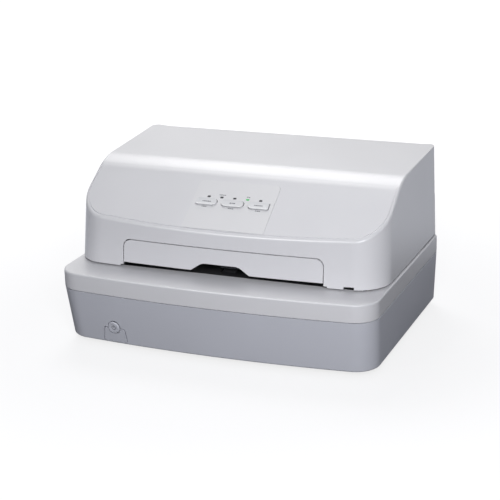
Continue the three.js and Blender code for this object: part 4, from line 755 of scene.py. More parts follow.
def flute(piece, radius, sides, share):
    """Draws two in every four stations of a round face in, so that teeth or ribs stay between them."""

    def in_groove(p):
        turn = math.atan2(p.y, p.x) / (2 * math.pi) * sides
        return abs(math.hypot(p.x, p.y) - radius) < 0.05 and round(turn) % 4 in (0, 1)

    pick(piece, "VERT", lambda v, p: in_groove(p[0]))
    bpy.ops.transform.resize(value=(share, share, 1), center_override=(0, 0, 0))
    leave()


def toothed(name, teeth, radius, bore):
    """A toothed pulley with two flanges round the Z axis, standing on its place."""
    flange = radius + 1.6
    half = [(0, flange - 0.4), (0.3, flange), (1, flange - 0.2), (1, radius)]
    wheel = turned(name, half + [(pulley_width - at, wide) for at, wide in reversed(half)], 4 * teeth)
    flute(wheel, radius, 4 * teeth, 1 - tooth_depth / radius)
    drill(wheel, -1, pulley_width + 1, bore)
    return smooth(wheel, 28)


def belt_loop(name, rounds, low, high, thickness):
    """A flat belt stretched round some circles, each (u, v, radius), between two heights of Z."""
    shells = []
    for grow, over in ((gap + thickness, 0), (gap, 2)):
        discs = []
        for u, v, radius in rounds:
            disc = turned("disc", [(low - over, radius + grow), (high + over, radius + grow)], 96)
            only(disc)
            bpy.ops.transform.translate(value=(u * mm, v * mm, 0))
            bpy.ops.object.transform_apply(location=True)
            discs.append(disc)
        hull = gather(name, discs)
        pick(hull, "VERT", lambda v, p: True)
        bpy.ops.mesh.convex_hull()
        leave()
        shells.append(clean(hull))
    return carve(shells[0], shells[1])


def belting(name, way, pitch=2.0):
    """Black belt rubber with a fine fabric face across the teeth."""
    rubber, shader = surface(name, linear(30, 30, 32), 0.7)
    ribs = pattern(rubber, "Wave", Scale=1000 / pitch / 3.2, wave_type="BANDS", bands_direction=way)
    cloth = pattern(rubber, "Noise", Scale=1300, Detail=3, Roughness=0.6)
    relief(rubber, ribs, "Fac", shader, 0.35, 0.00012)
    shades(rubber, cloth, "Fac", linear(22, 22, 24), linear(44, 44, 47), shader)
    gloss(rubber, cloth, "Fac", 0.6, 0.8, shader)
    return rubber


belt_rubber = belting("belt_rubber", "Y")
for name, cad, body, y, z, teeth, radius, bore in (
    ("motor_gear", "feed_motor_pulley", "motor_pulley", motor_y, motor_z, motor_teeth, motor_radius, 2.8),
    ("front_gear", "front_feed_pulley", "front_feed", front_shaft_y, feed_z, feed_teeth, feed_radius, 3.3),
    ("rear_gear", "rear_feed_pulley", "rear_feed", rear_shaft_y, feed_z, feed_teeth, feed_radius, 3.3),
):
    wheel = put(toothed(name, teeth, radius, bore), along("x", (pulley_inner, y, z)))
    dress(wheel, white_plastic, body, cad, slot="white_plastic")
loop = belt_loop(
    "feed_belt_loop",
    (
        (motor_y, motor_z, motor_radius),
        (front_shaft_y, feed_z, feed_radius),
        (rear_shaft_y, feed_z, feed_radius),
    ),
    pulley_inner + belt_side,
    pulley_inner + pulley_width - belt_side,
    1,
)
dress(smooth(put(loop, along("x"))), belt_rubber, "base", "feed_belt", slot="rubber")

# Feed shafts and rollers
# Two ground steel shafts in the side frames. Each carries three white hubs with ribbed rubber tyres
# that grip the passbook from below.
feed_rubber = rubbery("feed_rubber", linear(40, 40, 43), 0.7)


def groove_at(at, radius, mouth, floor):
    """The stations of a turned groove, half a millimetre deep."""
    narrow = radius - 0.5
    return [(at - mouth, radius), (at - floor, narrow), (at + floor, narrow), (at + mouth, radius)]


def tyre(name, radius, half, core, grooves):
    """A rubber tyre round the Z axis with turned grooves and a bore for its hub."""
    stations = [(-half, radius - 0.6), (0.6 - half, radius)]
    for i in range(grooves):
        at = -half + 2 * half * (i + 1) / (grooves + 1)
        stations += groove_at(at, radius, 0.5, 0.25)
    stations += [(half - 0.6, radius), (half, radius - 0.6)]
    return smooth(drill(turned(name, stations, 64), -half - 1, half + 1, core, 48))


def hub(name, radius, half, bore):
    """A hub or bush round the Z axis with broken edges."""
    stations = [(-half, radius - 0.4), (0.4 - half, radius), (half - 0.4, radius), (half, radius - 0.4)]
    return smooth(drill(turned(name, stations, 48), -half - 1, half + 1, bore))


def rod(name, radius, ends, grooves=(), chamfer=0.6):
    """A ground rod round the Z axis between two ends, with clip grooves cut at some places."""
    stations = [(ends[0], radius - chamfer), (ends[0] + chamfer, radius)]
    for at in grooves:
        stations += groove_at(at, radius, 0.4, 0.4)
    stations += [(ends[1] - chamfer, radius), (ends[1], radius - chamfer)]
    return smooth(turned(name, stations, 48))


def press_on(master, name, centre, look, body, *nodes, slot=None):
    """One more of a master piece, pressed on a shaft that lies across the machine."""
    dress(put(copy_of(master, name), along("x", centre)), look, body, *nodes, slot=slot)


roller_places = (("left", -90), ("middle", 0), ("right", 90))
feed_tyre, feed_hub = tyre("tyre", 9, half=8, core=6, grooves=5), hub("hub", 5.95, half=7.6, bore=3.1)
for word, y in (("front", front_shaft_y), ("rear", rear_shaft_y)):
    body = word + "_feed"
    shaft = rod(body + "_rod", 3, (-165, 169.45), (-163.2,))
    dress(put(shaft, along("x", (0, y, feed_z))), bright_steel, body, body + "_shaft", slot="steel")
    for side, x in roller_places:
        tread, centre = "%s_feed_roller_%s" % (word, side), (x, y, feed_z)
        press_on(feed_tyre, "%s_tyre_%s" % (word, side), centre, feed_rubber, body, tread, slot="rubber")
        press_on(feed_hub, "%s_hub_%s" % (word, side), centre, white_plastic, body)
for master in (feed_tyre, feed_hub):
    bpy.data.objects.remove(master)

# Platen and lower guide
# The platen is a ground steel bar under the print line. The guide round it is a black moulded plate
# level with the shelf, with windows for the rollers.
recoat(metal("ground_steel", (0.55, 0.55, 0.57), 0.3, stretch=(0.03, 1, 1)), "platen_bar")
recoat(black_plastic, "lower_guide")

# Power supply
# A zinc-plated box with vent slots, closed by four screws, with a white outlet plug on its front.
recoat(zinc_plate, "power_supply")
box_screws = [(x, y, 63.8) for x, y in ((-134, 46), (-51, 46), (-134, 99), (-51, 99))]
screws("power_supply_screw", "z", box_screws, 2.4, "base")
outlet = plug("power_supply_outlet", (-80, 34, 22), (-56, 40, 31), (-79, 30, 23), (-57, 38, 30))
dress(outlet, white_plastic, "base")

# Main board
# A green circuit board on four standoffs. It carries two flat chips, a finned heat sink, a bank of
# capacitors, small capacitors and a long header for the wires.
board_low, board_high, board_x, board_y = 20.8, 22.4, (-30, 135), (15, 116)


def lacquered(name):
    """Solder lacquer: two greens of copper tracks and bare board under a glossy coat, with a faint weave."""
    lacquer, shader = surface(name, linear(28, 100, 58), 0.3)
    tracks = pattern(lacquer, "Brick", Scale=95, offset=0.37, squash=1.6, squash_frequency=3)
    tracks.inputs["Mortar Size"].default_value = 0.035
    tracks.inputs["Color1"].default_value = (1, 1, 1, 1)
    tracks.inputs["Color2"].default_value = (0.7, 0.7, 0.7, 1)
    tracks.inputs["Mortar"].default_value = (0, 0, 0, 1)
    relief(lacquer, tracks, "Fac", shader, 0.3, 0.00008)
    shades(lacquer, tracks, "Color", linear(46, 132, 78), linear(24, 88, 52), shader)
    gloss(lacquer, tracks, "Fac", 0.25, 0.4, shader)
    return lacquer


lacquer_green = lacquered("lacquer_green")
board = block("main_circuit_board", (board_x[0], board_y[0], board_low), (board_x[1], board_y[1], board_high))
round_edges(board, lambda a, b: abs(a.z - b.z) > 1, 2, 4)
dress(smooth(board), lacquer_green, "base", "main_board", slot="board")
corners = [(x, y) for y in (board_y[0] + 6, board_y[1] - 6) for x in (board_x[0] + 6, board_x[1] - 6)]
posts = [dowel("post", 15.8, 20.7, 3.5, 6, along("z", (x, y, 0))) for x, y in corners]
dress(gather("main_board_standoffs", posts), zinc_plate, "base")
screws("main_board_screw", "z", [(x, y, board_high) for x, y in corners], 2.6, "base")
lead_pitch = 1.27


def chip(name, x, y, across, deep, rise):
    """A black moulded chip with gull-wing legs along its two long sides."""
    case = block(name, (x - across, y - deep, board_high + 0.3), (x + across, y + deep, board_high + rise))
    drill(case, rise - 0.2, rise + 1, 0.6, 20, along("z", (x - across + 2, y - deep + 2, board_high)))
    dress(soften(case, 0.25, 2), black_plastic, "base")
    wires = []
    for side in (-1, 1):
        near, far = y + side * deep - 0.2, y + side * (deep + 1.4) + 0.2
        leg = block("leg", (x - across + 1, near, board_high), (x - across + 1.5, far, board_high + 0.9))
        slide(leg, lambda p: abs(p.y - y) > deep + 1 and p.z > board_high + 0.5, (0, 0, -0.6))
        repeat(leg, int((2 * across - 2) / lead_pitch), lead_pitch)
        wires.append(leg)
    dress(gather(name + "_legs", wires), zinc_plate, "base")


chip("processor", 20, 60, across=14, deep=13, rise=2.4)
chip("memory", 60, 55, across=9, deep=6, rise=3)
sink = block("heat_sink", (92, 38, board_high + 0.2), (116, 70, board_high + 14))
for i in range(7):
    x = 94.2 + i * 3.1
    carve(sink, block("slit", (x, 30, board_high + 3), (x + 1.9, 80, board_high + 20)))
dress(soften(sink, 0.2, 1), cast_aluminium, "base")
header = plug(
    "board_header", (36, 26, board_high), (88, 34, board_high + 9),
    (37.2, 27.2, board_high + 2), (86.8, 32.8, board_high + 12),
)
dress(header, white_plastic, "base")
can_sleeve = moulded("can_sleeve", linear(36, 44, 74), 0.3, grain=0.03)
cans = []
for x, y, radius, rise in (
    (-8, 30, 5, 11), (-8, 42, 5, 11), (6, 30, 3, 7), (14, 30, 3, 7),
    (78, 74, 4, 10), (78, 88, 4, 10), (30, 90, 3, 7), (38, 90, 3, 7),
):
    crimp = [(0, radius), (0.8, radius), (1.2, radius - 0.35), (1.7, radius)]
    rim = [(rise - 0.5, radius), (rise, radius - 0.5), (rise - 0.2, radius - 0.9)]
    cans.append(put(turned("can", crimp + rim, 32), along("z", (x, y, board_high))))
dress(smooth(gather("board_capacitors", cans)), can_sleeve, "base")

# Shelf frame
# The upper half of the base: the band above the seam and the document shelf, one moulding that snaps
# into the tub with a tongue. A large window in it lets the printing mechanism through.
shelf_height, shelf_thickness = 90.5, 2.5
window_half, window_front, window_rear = 175, -85, 126
shelf = walls("document_shelf", base_level, seam, shelf_height, base_rear, base_corners)
top_edges = shared_edges(shelf, lambda n: n.z > 0.9, lambda n: abs(n.z) < 0.3)
pick(shelf, "EDGE", lambda e, p: tuple(sorted(e.vertices)) in top_edges)
bevel_picked(1.9, 5)
under = walls("under", base_level, seam, shelf_height, base_rear, base_corners, wall)
slide(under, lambda p: p.z > shelf_height - 0.1, (0, 0, -shelf_thickness))
slide(under, lambda p: p.z < seam + 0.1, (0, 0, -5))
carve(shelf, under)
tongue_low, tongue_high, tongue_inside = 74, 78, 4.3


def tongue_blank(name, inset, corner, rear_corner):
    """The tongue or the room inside it, before it is drawn out downwards."""
    levels = base_level(tongue_low, inset), base_level(tongue_high, inset)
    return casing_blank(name, *levels, base_rear - inset, corner, rear_corner)


tongue = tongue_blank("tongue", wall + gap, 22, 7)
slide(tongue, lambda p: p.z < 76, (0, 0, -8))
slide(tongue, lambda p: p.z > 76, (0, 0, -4))
tongue_hollow = tongue_blank("tongue_hollow", tongue_inside, 20.5, 5.5)
slide(tongue_hollow, lambda p: p.z < 76, (0, 0, -12))
carve(tongue, tongue_hollow)
carve(shelf, tongue, "UNION")
opening = block("opening", (-window_half, window_front, 60), (window_half, window_rear, 100))
round_edges(opening, upright, 12, 8)
carve(shelf, opening)
soften(shelf, 0.35, 2)
dress(shelf, casing_plastic, "base", "shelf_frame", slot="casing_plastic")

# Rear casing
# A narrow moulding across the back behind the hood. It has the paper exit and, near each end, two
# ears that hold a steel pin of the hood's hinge. Four screws hold it on the base.
hood_bottom, hood_height, hood_half, hood_front, hood_rear = 92.5, 110.5, 190, -97, 139
hood_corners, hood_front_slant, hood_side_slant, hood_bow, hood_bow_more = (35, 10), 0.1, 0.025, 8, 4
pivot_y, pivot_z, hinge_x, hinge_bore, lug_radius = 134.5, 147.5, 153, 2.3, 4.5


def hood_level(height, inset=0):
    """How wide the hood is at a height, where its front lies and how far it bows, taken in by a wall."""
    above = height - hood_bottom
    front, bow = hood_front + hood_front_slant * above + inset, hood_bow + hood_bow_more * above / hood_height
    return (height, hood_half - hood_side_slant * above - inset, front, bow)


hinge_line = along("x", (0, pivot_y, pivot_z))
casing = walls("back_casing", hood_level, 90.8, 143, base_rear, hood_corners)
carve(casing, walls("hollow", hood_level, 85, 150, base_rear, hood_corners, wall))
carve(casing, block("front", (-200, -150, 80), (200, 131.3, 160)))
exit_slot = block("exit_slot", (-125, 130, 91.8), (125, 150, 99.8))
round_edges(exit_slot, fore_aft, 2.5, 5)
carve(casing, exit_slot)
for side in (-1, 1):
    for out in (-1, 1):
        near = side * hinge_x + out * 4
        far = near + out * 6
        ear = block("ear", (near, 130, 136), (far, 138.75, pivot_z))
        round_edges(ear, lambda a, b: abs(a.z - b.z) > 5 and a.y > 135, 1, 3)
        carve(ear, dowel("boss", near, far, lug_radius, 40, hinge_line), "UNION")
        carve(casing, ear, "UNION")
    drill(casing, side * hinge_x - 15, side * hinge_x + 15, hinge_bore, 32, hinge_line)
casing_screws = [(x, 138.9, 121) for x in (-176, -60, 60, 176)]
for x, seat, z in casing_screws:
    drill(casing, seat, 145, 3.1, 32, along("y", (x, 0, z)))
soften(casing, 0.35, 2)
dress(casing, casing_plastic, "base", "rear_casing", slot="casing_plastic")
screws("casing_screw", "y", casing_screws, 1.9, "base")

# Hinge pins
# Two drawn steel pins with chamfered ends, pressed through the casing's ears and the hood's lugs.
for name, side in (("hood_hinge_pin_left", -1), ("hood_hinge_pin_right", 1)):
    x = side * hinge_x
    pin = turned(name + "_rod", [(x - 10.3, 1.5), (x - 9.8, 2), (x + 9.8, 2), (x + 10.3, 1.5)], 32)
    dress(smooth(put(pin, hinge_line)), bright_steel, "base", name, slot="steel")

# Upper frame
# A zinc-plated steel frame of two cheeks, a bridge and two beams, hung on trunnions in the side frames.
# It lifts a few degrees to free the passbook. Screws hold its bridge and beams.
recoat(zinc_plate, "upper_frame")
print_line, rod_z, front_rod_y, rear_rod_y, bridge_top = -30, 122, -50, -6, 118
screws("bridge_screw", "z", [(x, 56, bridge_top) for x in (-100, -35, 35, 100)], 2.4, "upper_unit")

# Guide rods
# Two ground steel rods with clip grooves, held in the cheeks. The carriage slides on them.
for word, y in (("front", front_rod_y), ("rear", rear_rod_y)):
    guide = rod("guide_rod_" + word, 4, (-155, 155), (-153.8, 153.8), chamfer=0.5)
    cad = "carriage_rod_" + word
    dress(put(guide, along("x", (0, y, rod_z))), bright_steel, "upper_unit", cad, slot="steel")

# Pinch rollers
# Two steel shafts in the cheeks with grey rubber tyres that press the passbook on the feed rollers.
pinch_rubber = rubbery("pinch_rubber", linear(112, 114, 119), 0.65)
pinch_z = 98.6
pinch_tyre, pinch_hub = tyre("tyre", 7, half=12, core=4.6, grooves=7), hub("hub", 4.55, half=11.6, bore=2.6)
pinch_bush = hub("bush", 4.5, half=1, bore=2.6)
for word, y in (("front", front_shaft_y), ("rear", rear_shaft_y)):
    body = word + "_pinch"
    shaft = rod(body + "_rod", 2.5, (-155, 155), (-147, 147))
    dress(put(shaft, along("x", (0, y, pinch_z))), bright_steel, body, body + "_roller", slot="steel")
    for side, x in roller_places:
        centre = (x, y, pinch_z)
        press_on(pinch_tyre, "%s_tyre_%s" % (body, side), centre, pinch_rubber, body, slot="grey_plastic")
        press_on(pinch_hub, "%s_hub_%s" % (body, side), centre, black_plastic, body)
    for side, x in (("left", -150.6), ("right", 150.6)):
        press_on(pinch_bush, "%s_bush_%s" % (body, side), (x, y, pinch_z), white_plastic, body)
for master in (pinch_tyre, pinch_hub, pinch_bush):
    bpy.data.objects.remove(master)

# Carriage motor, pulleys and belt
# A small stepping motor under the left end of the frame, two toothed pulleys and a belt with moulded
# teeth that pulls the carriage along.
pulley_x, pulley_y, pulley_foot, carriage_pulley_radius = 138, 25, 118.3, 8
carriage_motor_place = along("z", (-pulley_x, pulley_y, 115.7))
stepper("carriage_stepper", "carriage_motor", carriage_motor_place, "Z", "upper_unit",
        half=13.5, length=20, pilot=6, shaft_radius=2.5, shaft_end=9.6)
for name, cad, body, x in (
    ("carriage_drive_gear", "carriage_drive_pulley", "drive_pulley", -pulley_x),
    ("carriage_idler_gear", "carriage_idler_pulley", "idler_pulley", pulley_x),
):
    wheel = put(toothed(name, 24, carriage_pulley_radius, 2.8), along("z", (x, pulley_y, pulley_foot)))
    dress(wheel, white_plastic, body, cad, slot="white_plastic")
belt_foot, belt_top = pulley_foot + belt_side, pulley_foot + pulley_width - belt_side
rounds = [(x, pulley_y, carriage_pulley_radius) for x in (-pulley_x, pulley_x)]
loop = belt_loop("carriage_belt_loop", rounds, belt_foot, belt_top, 1)
for side in (-1, 1):
    inside_y = pulley_y + side * (carriage_pulley_radius + gap)
    tooth = block("tooth", (-pulley_x, inside_y - 0.45, belt_foot), (1 - pulley_x, inside_y + 0.45, belt_top))
    repeat(tooth, 138, 2)
    carve(loop, tooth, "UNION")
dress(smooth(loop), belting("carriage_belt_rubber", "X"), "upper_unit", "carriage_belt", slot="rubber")

# Carriage
# A black moulded saddle on the two rods, with bronze bushes, a clamp on the belt and a bore for the head.
carriage_half, carriage_low, carriage_high = 22, 114, 130
saddle = block("carriage_saddle", (-carriage_half, -57, carriage_low), (carriage_half, 1, carriage_high))
round_edges(saddle, upright, 4, 5)
clamp = block("clamp", (-6, -1.5, 118.8), (6, 15.4, carriage_high))
jaw = block("jaw", (-6, 12.9, 125.6), (6, 19, carriage_high))
carve(saddle, clamp, "UNION")
carve(saddle, jaw, "UNION")
for x in (-16, 16):
    carve(saddle, block("pocket", (x - 3.5, -41, 118), (x + 3.5, -19, 140)))
head_line = along("z", (0, print_line, 0))
drill(saddle, 100, 140, 15.3, 64, head_line)
for y in (front_rod_y, rear_rod_y):
    rod_line = along("x", (0, y, rod_z))
    drill(saddle, -30, 30, 4.3, 48, rod_line)
    for side in (-1, 1):
        drill(saddle, side * 18 - 5, side * 18 + 5, 6, 48, rod_line)
soften(saddle, 0.6, 2)
dress(saddle, black_plastic, "carriage_unit", "carriage", slot="black_plastic")
bronze = metal("sintered_bronze", (0.62, 0.42, 0.24), 0.4, grain=0.4, spread=0.15)
bushes = []
for y in (front_rod_y, rear_rod_y):
    for side in (-1, 1):
        bush = drill(turned("bush", [(13.4, 5.9), (21.4, 5.9), (21.8, 5.5)], 48), 10, 30, 4.25, 48)
        away = Matrix.Translation((-35.2 * mm if side < 0 else 0, 0, 0))
        bushes.append(put(bush, away @ along("x", (0, y, rod_z))))
dress(smooth(gather("carriage_bushes", bushes)), bronze, "carriage_unit")
corners = [(x, y, carriage_high) for y in (-51, -5) for x in (-16, 16)]
screws("head_plate_screw", "z", corners, 2.2, "carriage_unit")

# Print head
# The needle head: a cone to the needle tip, a round magnet body and cooling fins of cast aluminium,
# with a black cap and the socket of its flat cable on top.
fin_wide, fin_deep = 18, 14.4
fins = [(130.3, fin_wide - 0.4), (130.7, fin_wide)]
for i in range(4):
    z = 131.4 + i * 1.6
    fins += [(z, fin_wide), (z + 0.1, fin_deep), (z + 0.8, fin_deep), (z + 0.9, fin_wide)]
head = turned(
    "needle_head",
    [(93.4, 3.1), (93.8, 3.5), (104, 6.3), (106, 7), (109, 11.4), (112, 14.6), (112.5, 15), (130.3, 15)]
    + fins + [(137.6, fin_wide), (138, fin_wide - 0.5)],
    64,
)
dress(smooth(put(head, head_line)), cast_aluminium, "carriage_unit", "print_head", slot="aluminium")
cap = put(turned("head_cap", [(137.6, 11), (139, 11), (139.6, 10.4)], 64), head_line)
dress(smooth(cap), black_plastic, "carriage_unit")
socket = plug(
    "head_socket", (-9, print_line + 1, 139.4), (9, print_line + 7, 145),
    (-8, print_line + 2.6, 141), (8, print_line + 5.4, 150),
)
dress(socket, white_plastic, "carriage_unit")
spots = [(x, print_line + y, 138) for x, y in ((-14.6, 0), (14.6, 0), (0, -14.6))]
screws("head_screw", "z", spots, 1.8, "carriage_unit")

# Ribbon cartridge
# A long black box in front of the carriage with a welded lid, finger ribs and an arm at each end that
# stretches the ribbon over the print line.
cartridge_half, cartridge_low, cartridge_high = 148, 113, 125.5
knob_line = along("z", (118, -68, 0))
cartridge = block("ribbon_box", (-cartridge_half, -77, cartridge_low), (cartridge_half, -59, cartridge_high))
round_edges(cartridge, upright, 3, 4)


def plate(name, outline, low, high):
    """A flat plate across X with an outline of (y, z) points: a polygon set to them and extruded."""
    bpy.ops.object.select_all(action="DESELECT")
    bpy.ops.mesh.primitive_circle_add(vertices=len(outline), fill_type="NGON", location=(0, 0, 0))
    made = bpy.context.object
    made.name = name
    for point, (y, z) in zip(made.data.vertices, outline):
        point.co = (low * mm, y * mm, z * mm)
    pick(made, "FACE", lambda f, p: True)
    bpy.ops.mesh.extrude_region_move(TRANSFORM_OT_translate={"value": ((high - low) * mm, 0, 0)})
    leave()
    return clean(made)


arm = (
    (-58, 92), (-21, 92), (-21, 98), (-54.8, 104),
    (-54.8, cartridge_high), (-61.5, cartridge_high), (-61.5, cartridge_low), (-58, cartridge_low),
)
for side in (-1, 1):
    ends = sorted((side * cartridge_half, side * (cartridge_half - 6)))
    carve(cartridge, plate("arm", arm, *ends), "UNION")
lid_line = block("lid_line", (-160, -90, 122.2), (160, -57.5, 122.6))
carve(lid_line, block("lid_core", (-147.5, -76.5, 121), (147.5, -59.5, 124)))
carve(cartridge, lid_line)
for i in range(9):
    x = -60 + i * 15
    carve(cartridge, block("finger_groove", (x - 1.2, -74, 125.1), (x + 1.2, -62, 130)))
drill(cartridge, 110, 140, 2.3, 32, knob_line)
soften(cartridge, 0.5, 2)
dress(cartridge, black_plastic, "upper_unit", "ribbon_cartridge", slot="black_plastic")

# Ribbon
# Woven nylon, soaked with black ink, 13 mm wide and stretched flat between the two arms.
ribbon_half, ribbon_y, ribbon_z, ribbon_sag = 141.7, 6.5, 92.62, 0.05


def woven(name, colour, threads):
    """A tight plain weave of thin threads, darker where it holds more ink."""
    cloth, shader = surface(name, colour, 0.85)
    weft, warp = [
        pattern(cloth, "Wave", Scale=threads, wave_type="BANDS", bands_direction=way) for way in ("X", "Y")
    ]
    ink = pattern(cloth, "Noise", Scale=70, Detail=4, Roughness=0.6)
    both = node(cloth, "Math", operation="MULTIPLY")
    wire(cloth, weft, "Fac", both, 0)
    wire(cloth, warp, "Fac", both, 1)
    relief(cloth, both, "Value", shader, 0.6, 0.0001)
    shades(cloth, ink, "Fac", shade(colour, 0.5), shade(colour, 1.8), shader)
    gloss(cloth, both, "Value", 0.7, 0.95, shader)
    return cloth


bpy.ops.object.select_all(action="DESELECT")
bpy.ops.mesh.primitive_grid_add(x_subdivisions=142, y_subdivisions=8, size=2, location=(0, 0, 0))
ribbon = bpy.context.object
ribbon.name = "ink_ribbon"
bpy.ops.transform.resize(value=(ribbon_half * mm, ribbon_y * mm, 1))
bpy.ops.transform.translate(value=(0, print_line * mm, ribbon_z * mm))
bpy.ops.object.transform_apply(location=True, rotation=True, scale=True)
for point in ribbon.data.vertices:
    x, y = point.co.x / mm, point.co.y / mm - print_line
    point.co.z += ribbon_sag * (math.sin(x / 9) * (y / ribbon_y) ** 2 - (1 - (x / ribbon_half) ** 2)) * mm
finish_with(ribbon, "SOLIDIFY", thickness=0.12 * mm, offset=0)
smooth(ribbon)
dress(ribbon, woven("inked_nylon", linear(26, 26, 32), 900), "upper_unit", "ribbon", slot="ink_fabric")

# Ribbon knob
# A ribbed white knob in the cartridge's lid. Turning it takes up a slack ribbon.
knob_radius, knob_sides = 7, 88
knob = turned(
    "take_up_knob",
    [
        (120.5, 1.7), (120.8, 2), (125.8, 2), (125.8, knob_radius - 0.4), (126.1, knob_radius),
        (129, knob_radius), (129.8, 6.2), (129.7, 4.6), (129.1, 4), (129.1, 0.5),
    ],
    knob_sides,
)
flute(knob, knob_radius, knob_sides, 0.92)
pointer = block("pointer", (-0.7, -5, 128.9), (0.7, 5, 129.75))
round_edges(pointer, upright, 0.5, 3)
carve(knob, pointer, "UNION")
dress(put(smooth(knob, 28), knob_line), white_plastic, "knob", "ribbon_knob", slot="white_plastic")

# Release shaft and levers
# A steel shaft across the upper frame with a green lever pressed on each end. Each lever has a ribbed grip
# at its top.
release_y, release_z, grip_half, rib_half = -75.5, 101.5, 4.5, 0.3
release_line = along("x", (0, release_y, release_z))
shaft = put(rod("release_rod", 3, (-159.5, 159.5)), release_line)
dress(shaft, bright_steel, "release", "release_shaft", slot="steel")
lever_green = moulded("lever_green", linear(40, 152, 78), 0.4, grain=0.12)
for word, side in (("left", -1), ("right", 1)):
    low, high = sorted((side * 154.5, side * 159.5))
    top = release_z + 15
    lever = block("green_lever_" + word, (low, release_y - 4, release_z), (high, release_y + 4, top))
    grip = block("grip", (low, release_y - grip_half, release_z + 9), (high, release_y + grip_half, top))
    round_edges(grip, lambda a, b: abs(a.x - b.x) > 3, 2, 5)
    boss = dowel("boss", low, high, 6, 48, release_line)
    carve(lever, grip, "UNION")
    carve(lever, boss, "UNION")
    for z in (release_z + 10.6, release_z + 12, release_z + 13.4):
        for y in (release_y - grip_half, release_y + grip_half):
            near, far = (low - 1, y - rib_half, z - rib_half), (high + 1, y + rib_half, z + rib_half)
            carve(lever, block("groove", near, far))
    drill(lever, low - 1, high + 1, 3.1, 32, release_line)
    soften(lever, 0.35, 2)
    dress(lever, lever_green, "release", "release_lever_" + word, slot="green_plastic")

# Hood
# The large cover, one moulding with a bowed front wall, a long slope for the controls and a round
# shoulder. It swings on two lugs at the rear; the front wall has the window for the flap.
shoulder_y, shoulder_z, shoulder_radius, hood_top, hood_over = -3, 197.2, 70, 203, 212
rim_y, rim_z = -92.05, 142
slope = math.atan2(shoulder_z - rim_z, shoulder_y - rim_y)
rise = math.atan2(hood_top - shoulder_z, hood_rear - 8 - shoulder_y)
flap_half, flap_foot, flap_top, flap_corner = 122.3, 97.5, 124, 9.5
flap_axis_y, flap_axis_z = -85.954, 119.5
flap_line = along("x", (0, flap_axis_y, flap_axis_z))


def hood_blank(name, inset, foot, rim_round):
    """The hood as a solid, or the room inside it: a bowed blank sawn off along the slope and the top."""
    blank = walls(name, hood_level, foot, hood_over, hood_rear, hood_corners, inset)
    for angle in (slope, rise):
        lie = Vector((0, -math.sin(angle), math.cos(angle)))
        saw(blank, Vector((0, shoulder_y, shoulder_z)) - lie * inset, lie, keep_below=True)
    saw(blank, (0, 0, hood_top - inset), (0, 0, 1), keep_below=True)
    clean(blank)
    reach = (shoulder_radius - inset) * math.tan((slope - rise) / 2)
    turn_y = shoulder_y + inset * math.sin((slope + rise) / 2)
    round_edges(
        blank,
        lambda a, b: max(abs(a.y - turn_y), abs(b.y - turn_y)) < 1.5 and a.z > 185 and abs(a.x - b.x) > 0.5,
        reach,
        14,
    )
    round_edges(
        blank,
        lambda a, b: min(a.y, b.y) > hood_rear - inset - 0.1 and min(a.z, b.z) > 190 and abs(a.z - b.z) < 0.5,
        8 - inset,
        6,
    )
    clean(blank)
    if rim_round:
        rim = shared_edges(blank, lambda n: abs(n.z) < 0.3, lambda n: n.z > 0.42)
        pick(blank, "EDGE", lambda e, p: tuple(sorted(e.vertices)) in rim and max(p[0].y, p[1].y) < 131.5)
        bevel_picked(rim_round, 8)
        clean(blank)
    return blank


def face_window(name, grow, foot, corner, front=-112, rear=-70):
    """The flap's outline in the front wall, grown by a gap, as a block from front to rear."""
    outline = block(name, (-flap_half - grow, front, foot), (flap_half + grow, rear, flap_top + grow))
    round_edges(outline, lambda a, b: fore_aft(a, b) and a.z > 110, corner, 8)
    return outline


slope_place = Matrix.Translation(Vector((0, shoulder_y, shoulder_z)) * mm) @ Matrix.Rotation(slope, 4, "X")
window_gap, relief_inset, relief_gap, groove_outside, groove_inside = 1, 0.9, 3.4, 2.7, 3.9


def tablet(name, low, high, radii, segments=6):
    """A flat block in the slope's own frame with its four upright corners rounded, from lower left on."""
    piece = block(name, low, high)
    corners = [(x, y) for y in (low[1], high[1]) for x in (low[0], high[0])]
    corners[2:] = reversed(corners[2:])
    for (x, y), radius in zip(corners, radii):
        round_edges(
            piece,
            lambda a, b: abs(a.z - b.z) > 0.05
            and abs(a.x - x) + abs(a.y - y) + abs(b.x - x) + abs(b.y - y) < 0.1,
            radius,
            segments,
        )
    return piece


hood = hood_blank("hood_cover", 0, hood_bottom, 2.4)
carve(hood, hood_blank("room", wall, hood_bottom - 6, 0))
carve(hood, face_window("window", window_gap, 80, flap_corner - 0.3))
relief_room = hood_blank("relief", relief_inset, hood_bottom - 5, 0)
carve(relief_room, face_window("relief_outline", relief_gap, 100, flap_corner + 1), "INTERSECT")
carve(hood, relief_room)
carve(hood, block("sill", (-127.3, -110, 80), (127.3, -75, 94.3)))
carve(hood, block("latch_notch", (146, -110, 80), (158, -70, 95.5)))
carve(hood, block("rear_gap", (-200, 131, 80), (200, 150, 148.1)))
# a fine groove all along the foot of the slope and up its sides leaves the rim standing as a narrow bead
groove = walls("rim_groove", hood_level, hood_bottom, hood_over, hood_rear, hood_corners, groove_outside)
carve(groove, walls("groove_core", hood_level, 85, 220, hood_rear, hood_corners, groove_inside))
carve(groove, put(block("strip", (-200, -112, -0.7), (200, 5, 6)), slope_place), "INTERSECT")
carve(hood, groove)
for side in (-1, 1):
    carve(hood, block("hinge_notch", (side * hinge_x - 11, 126, 80), (side * hinge_x + 11, 150, 153)))
panel_half, panel_foot, panel_top, panel_gap = 50, -99, -25.5, 0.15
pocket = tablet(
    "pocket",
    (-panel_half - panel_gap, panel_foot - panel_gap, -1.2),
    (panel_half + panel_gap, panel_top + panel_gap, 5),
    (0.5, 0.5, 6.1, 6.1),
)
carve(hood, put(pocket, slope_place))
key_row, key_pitch, key_half_height, key_gap = -58.3, 32, 4.8, 0.75
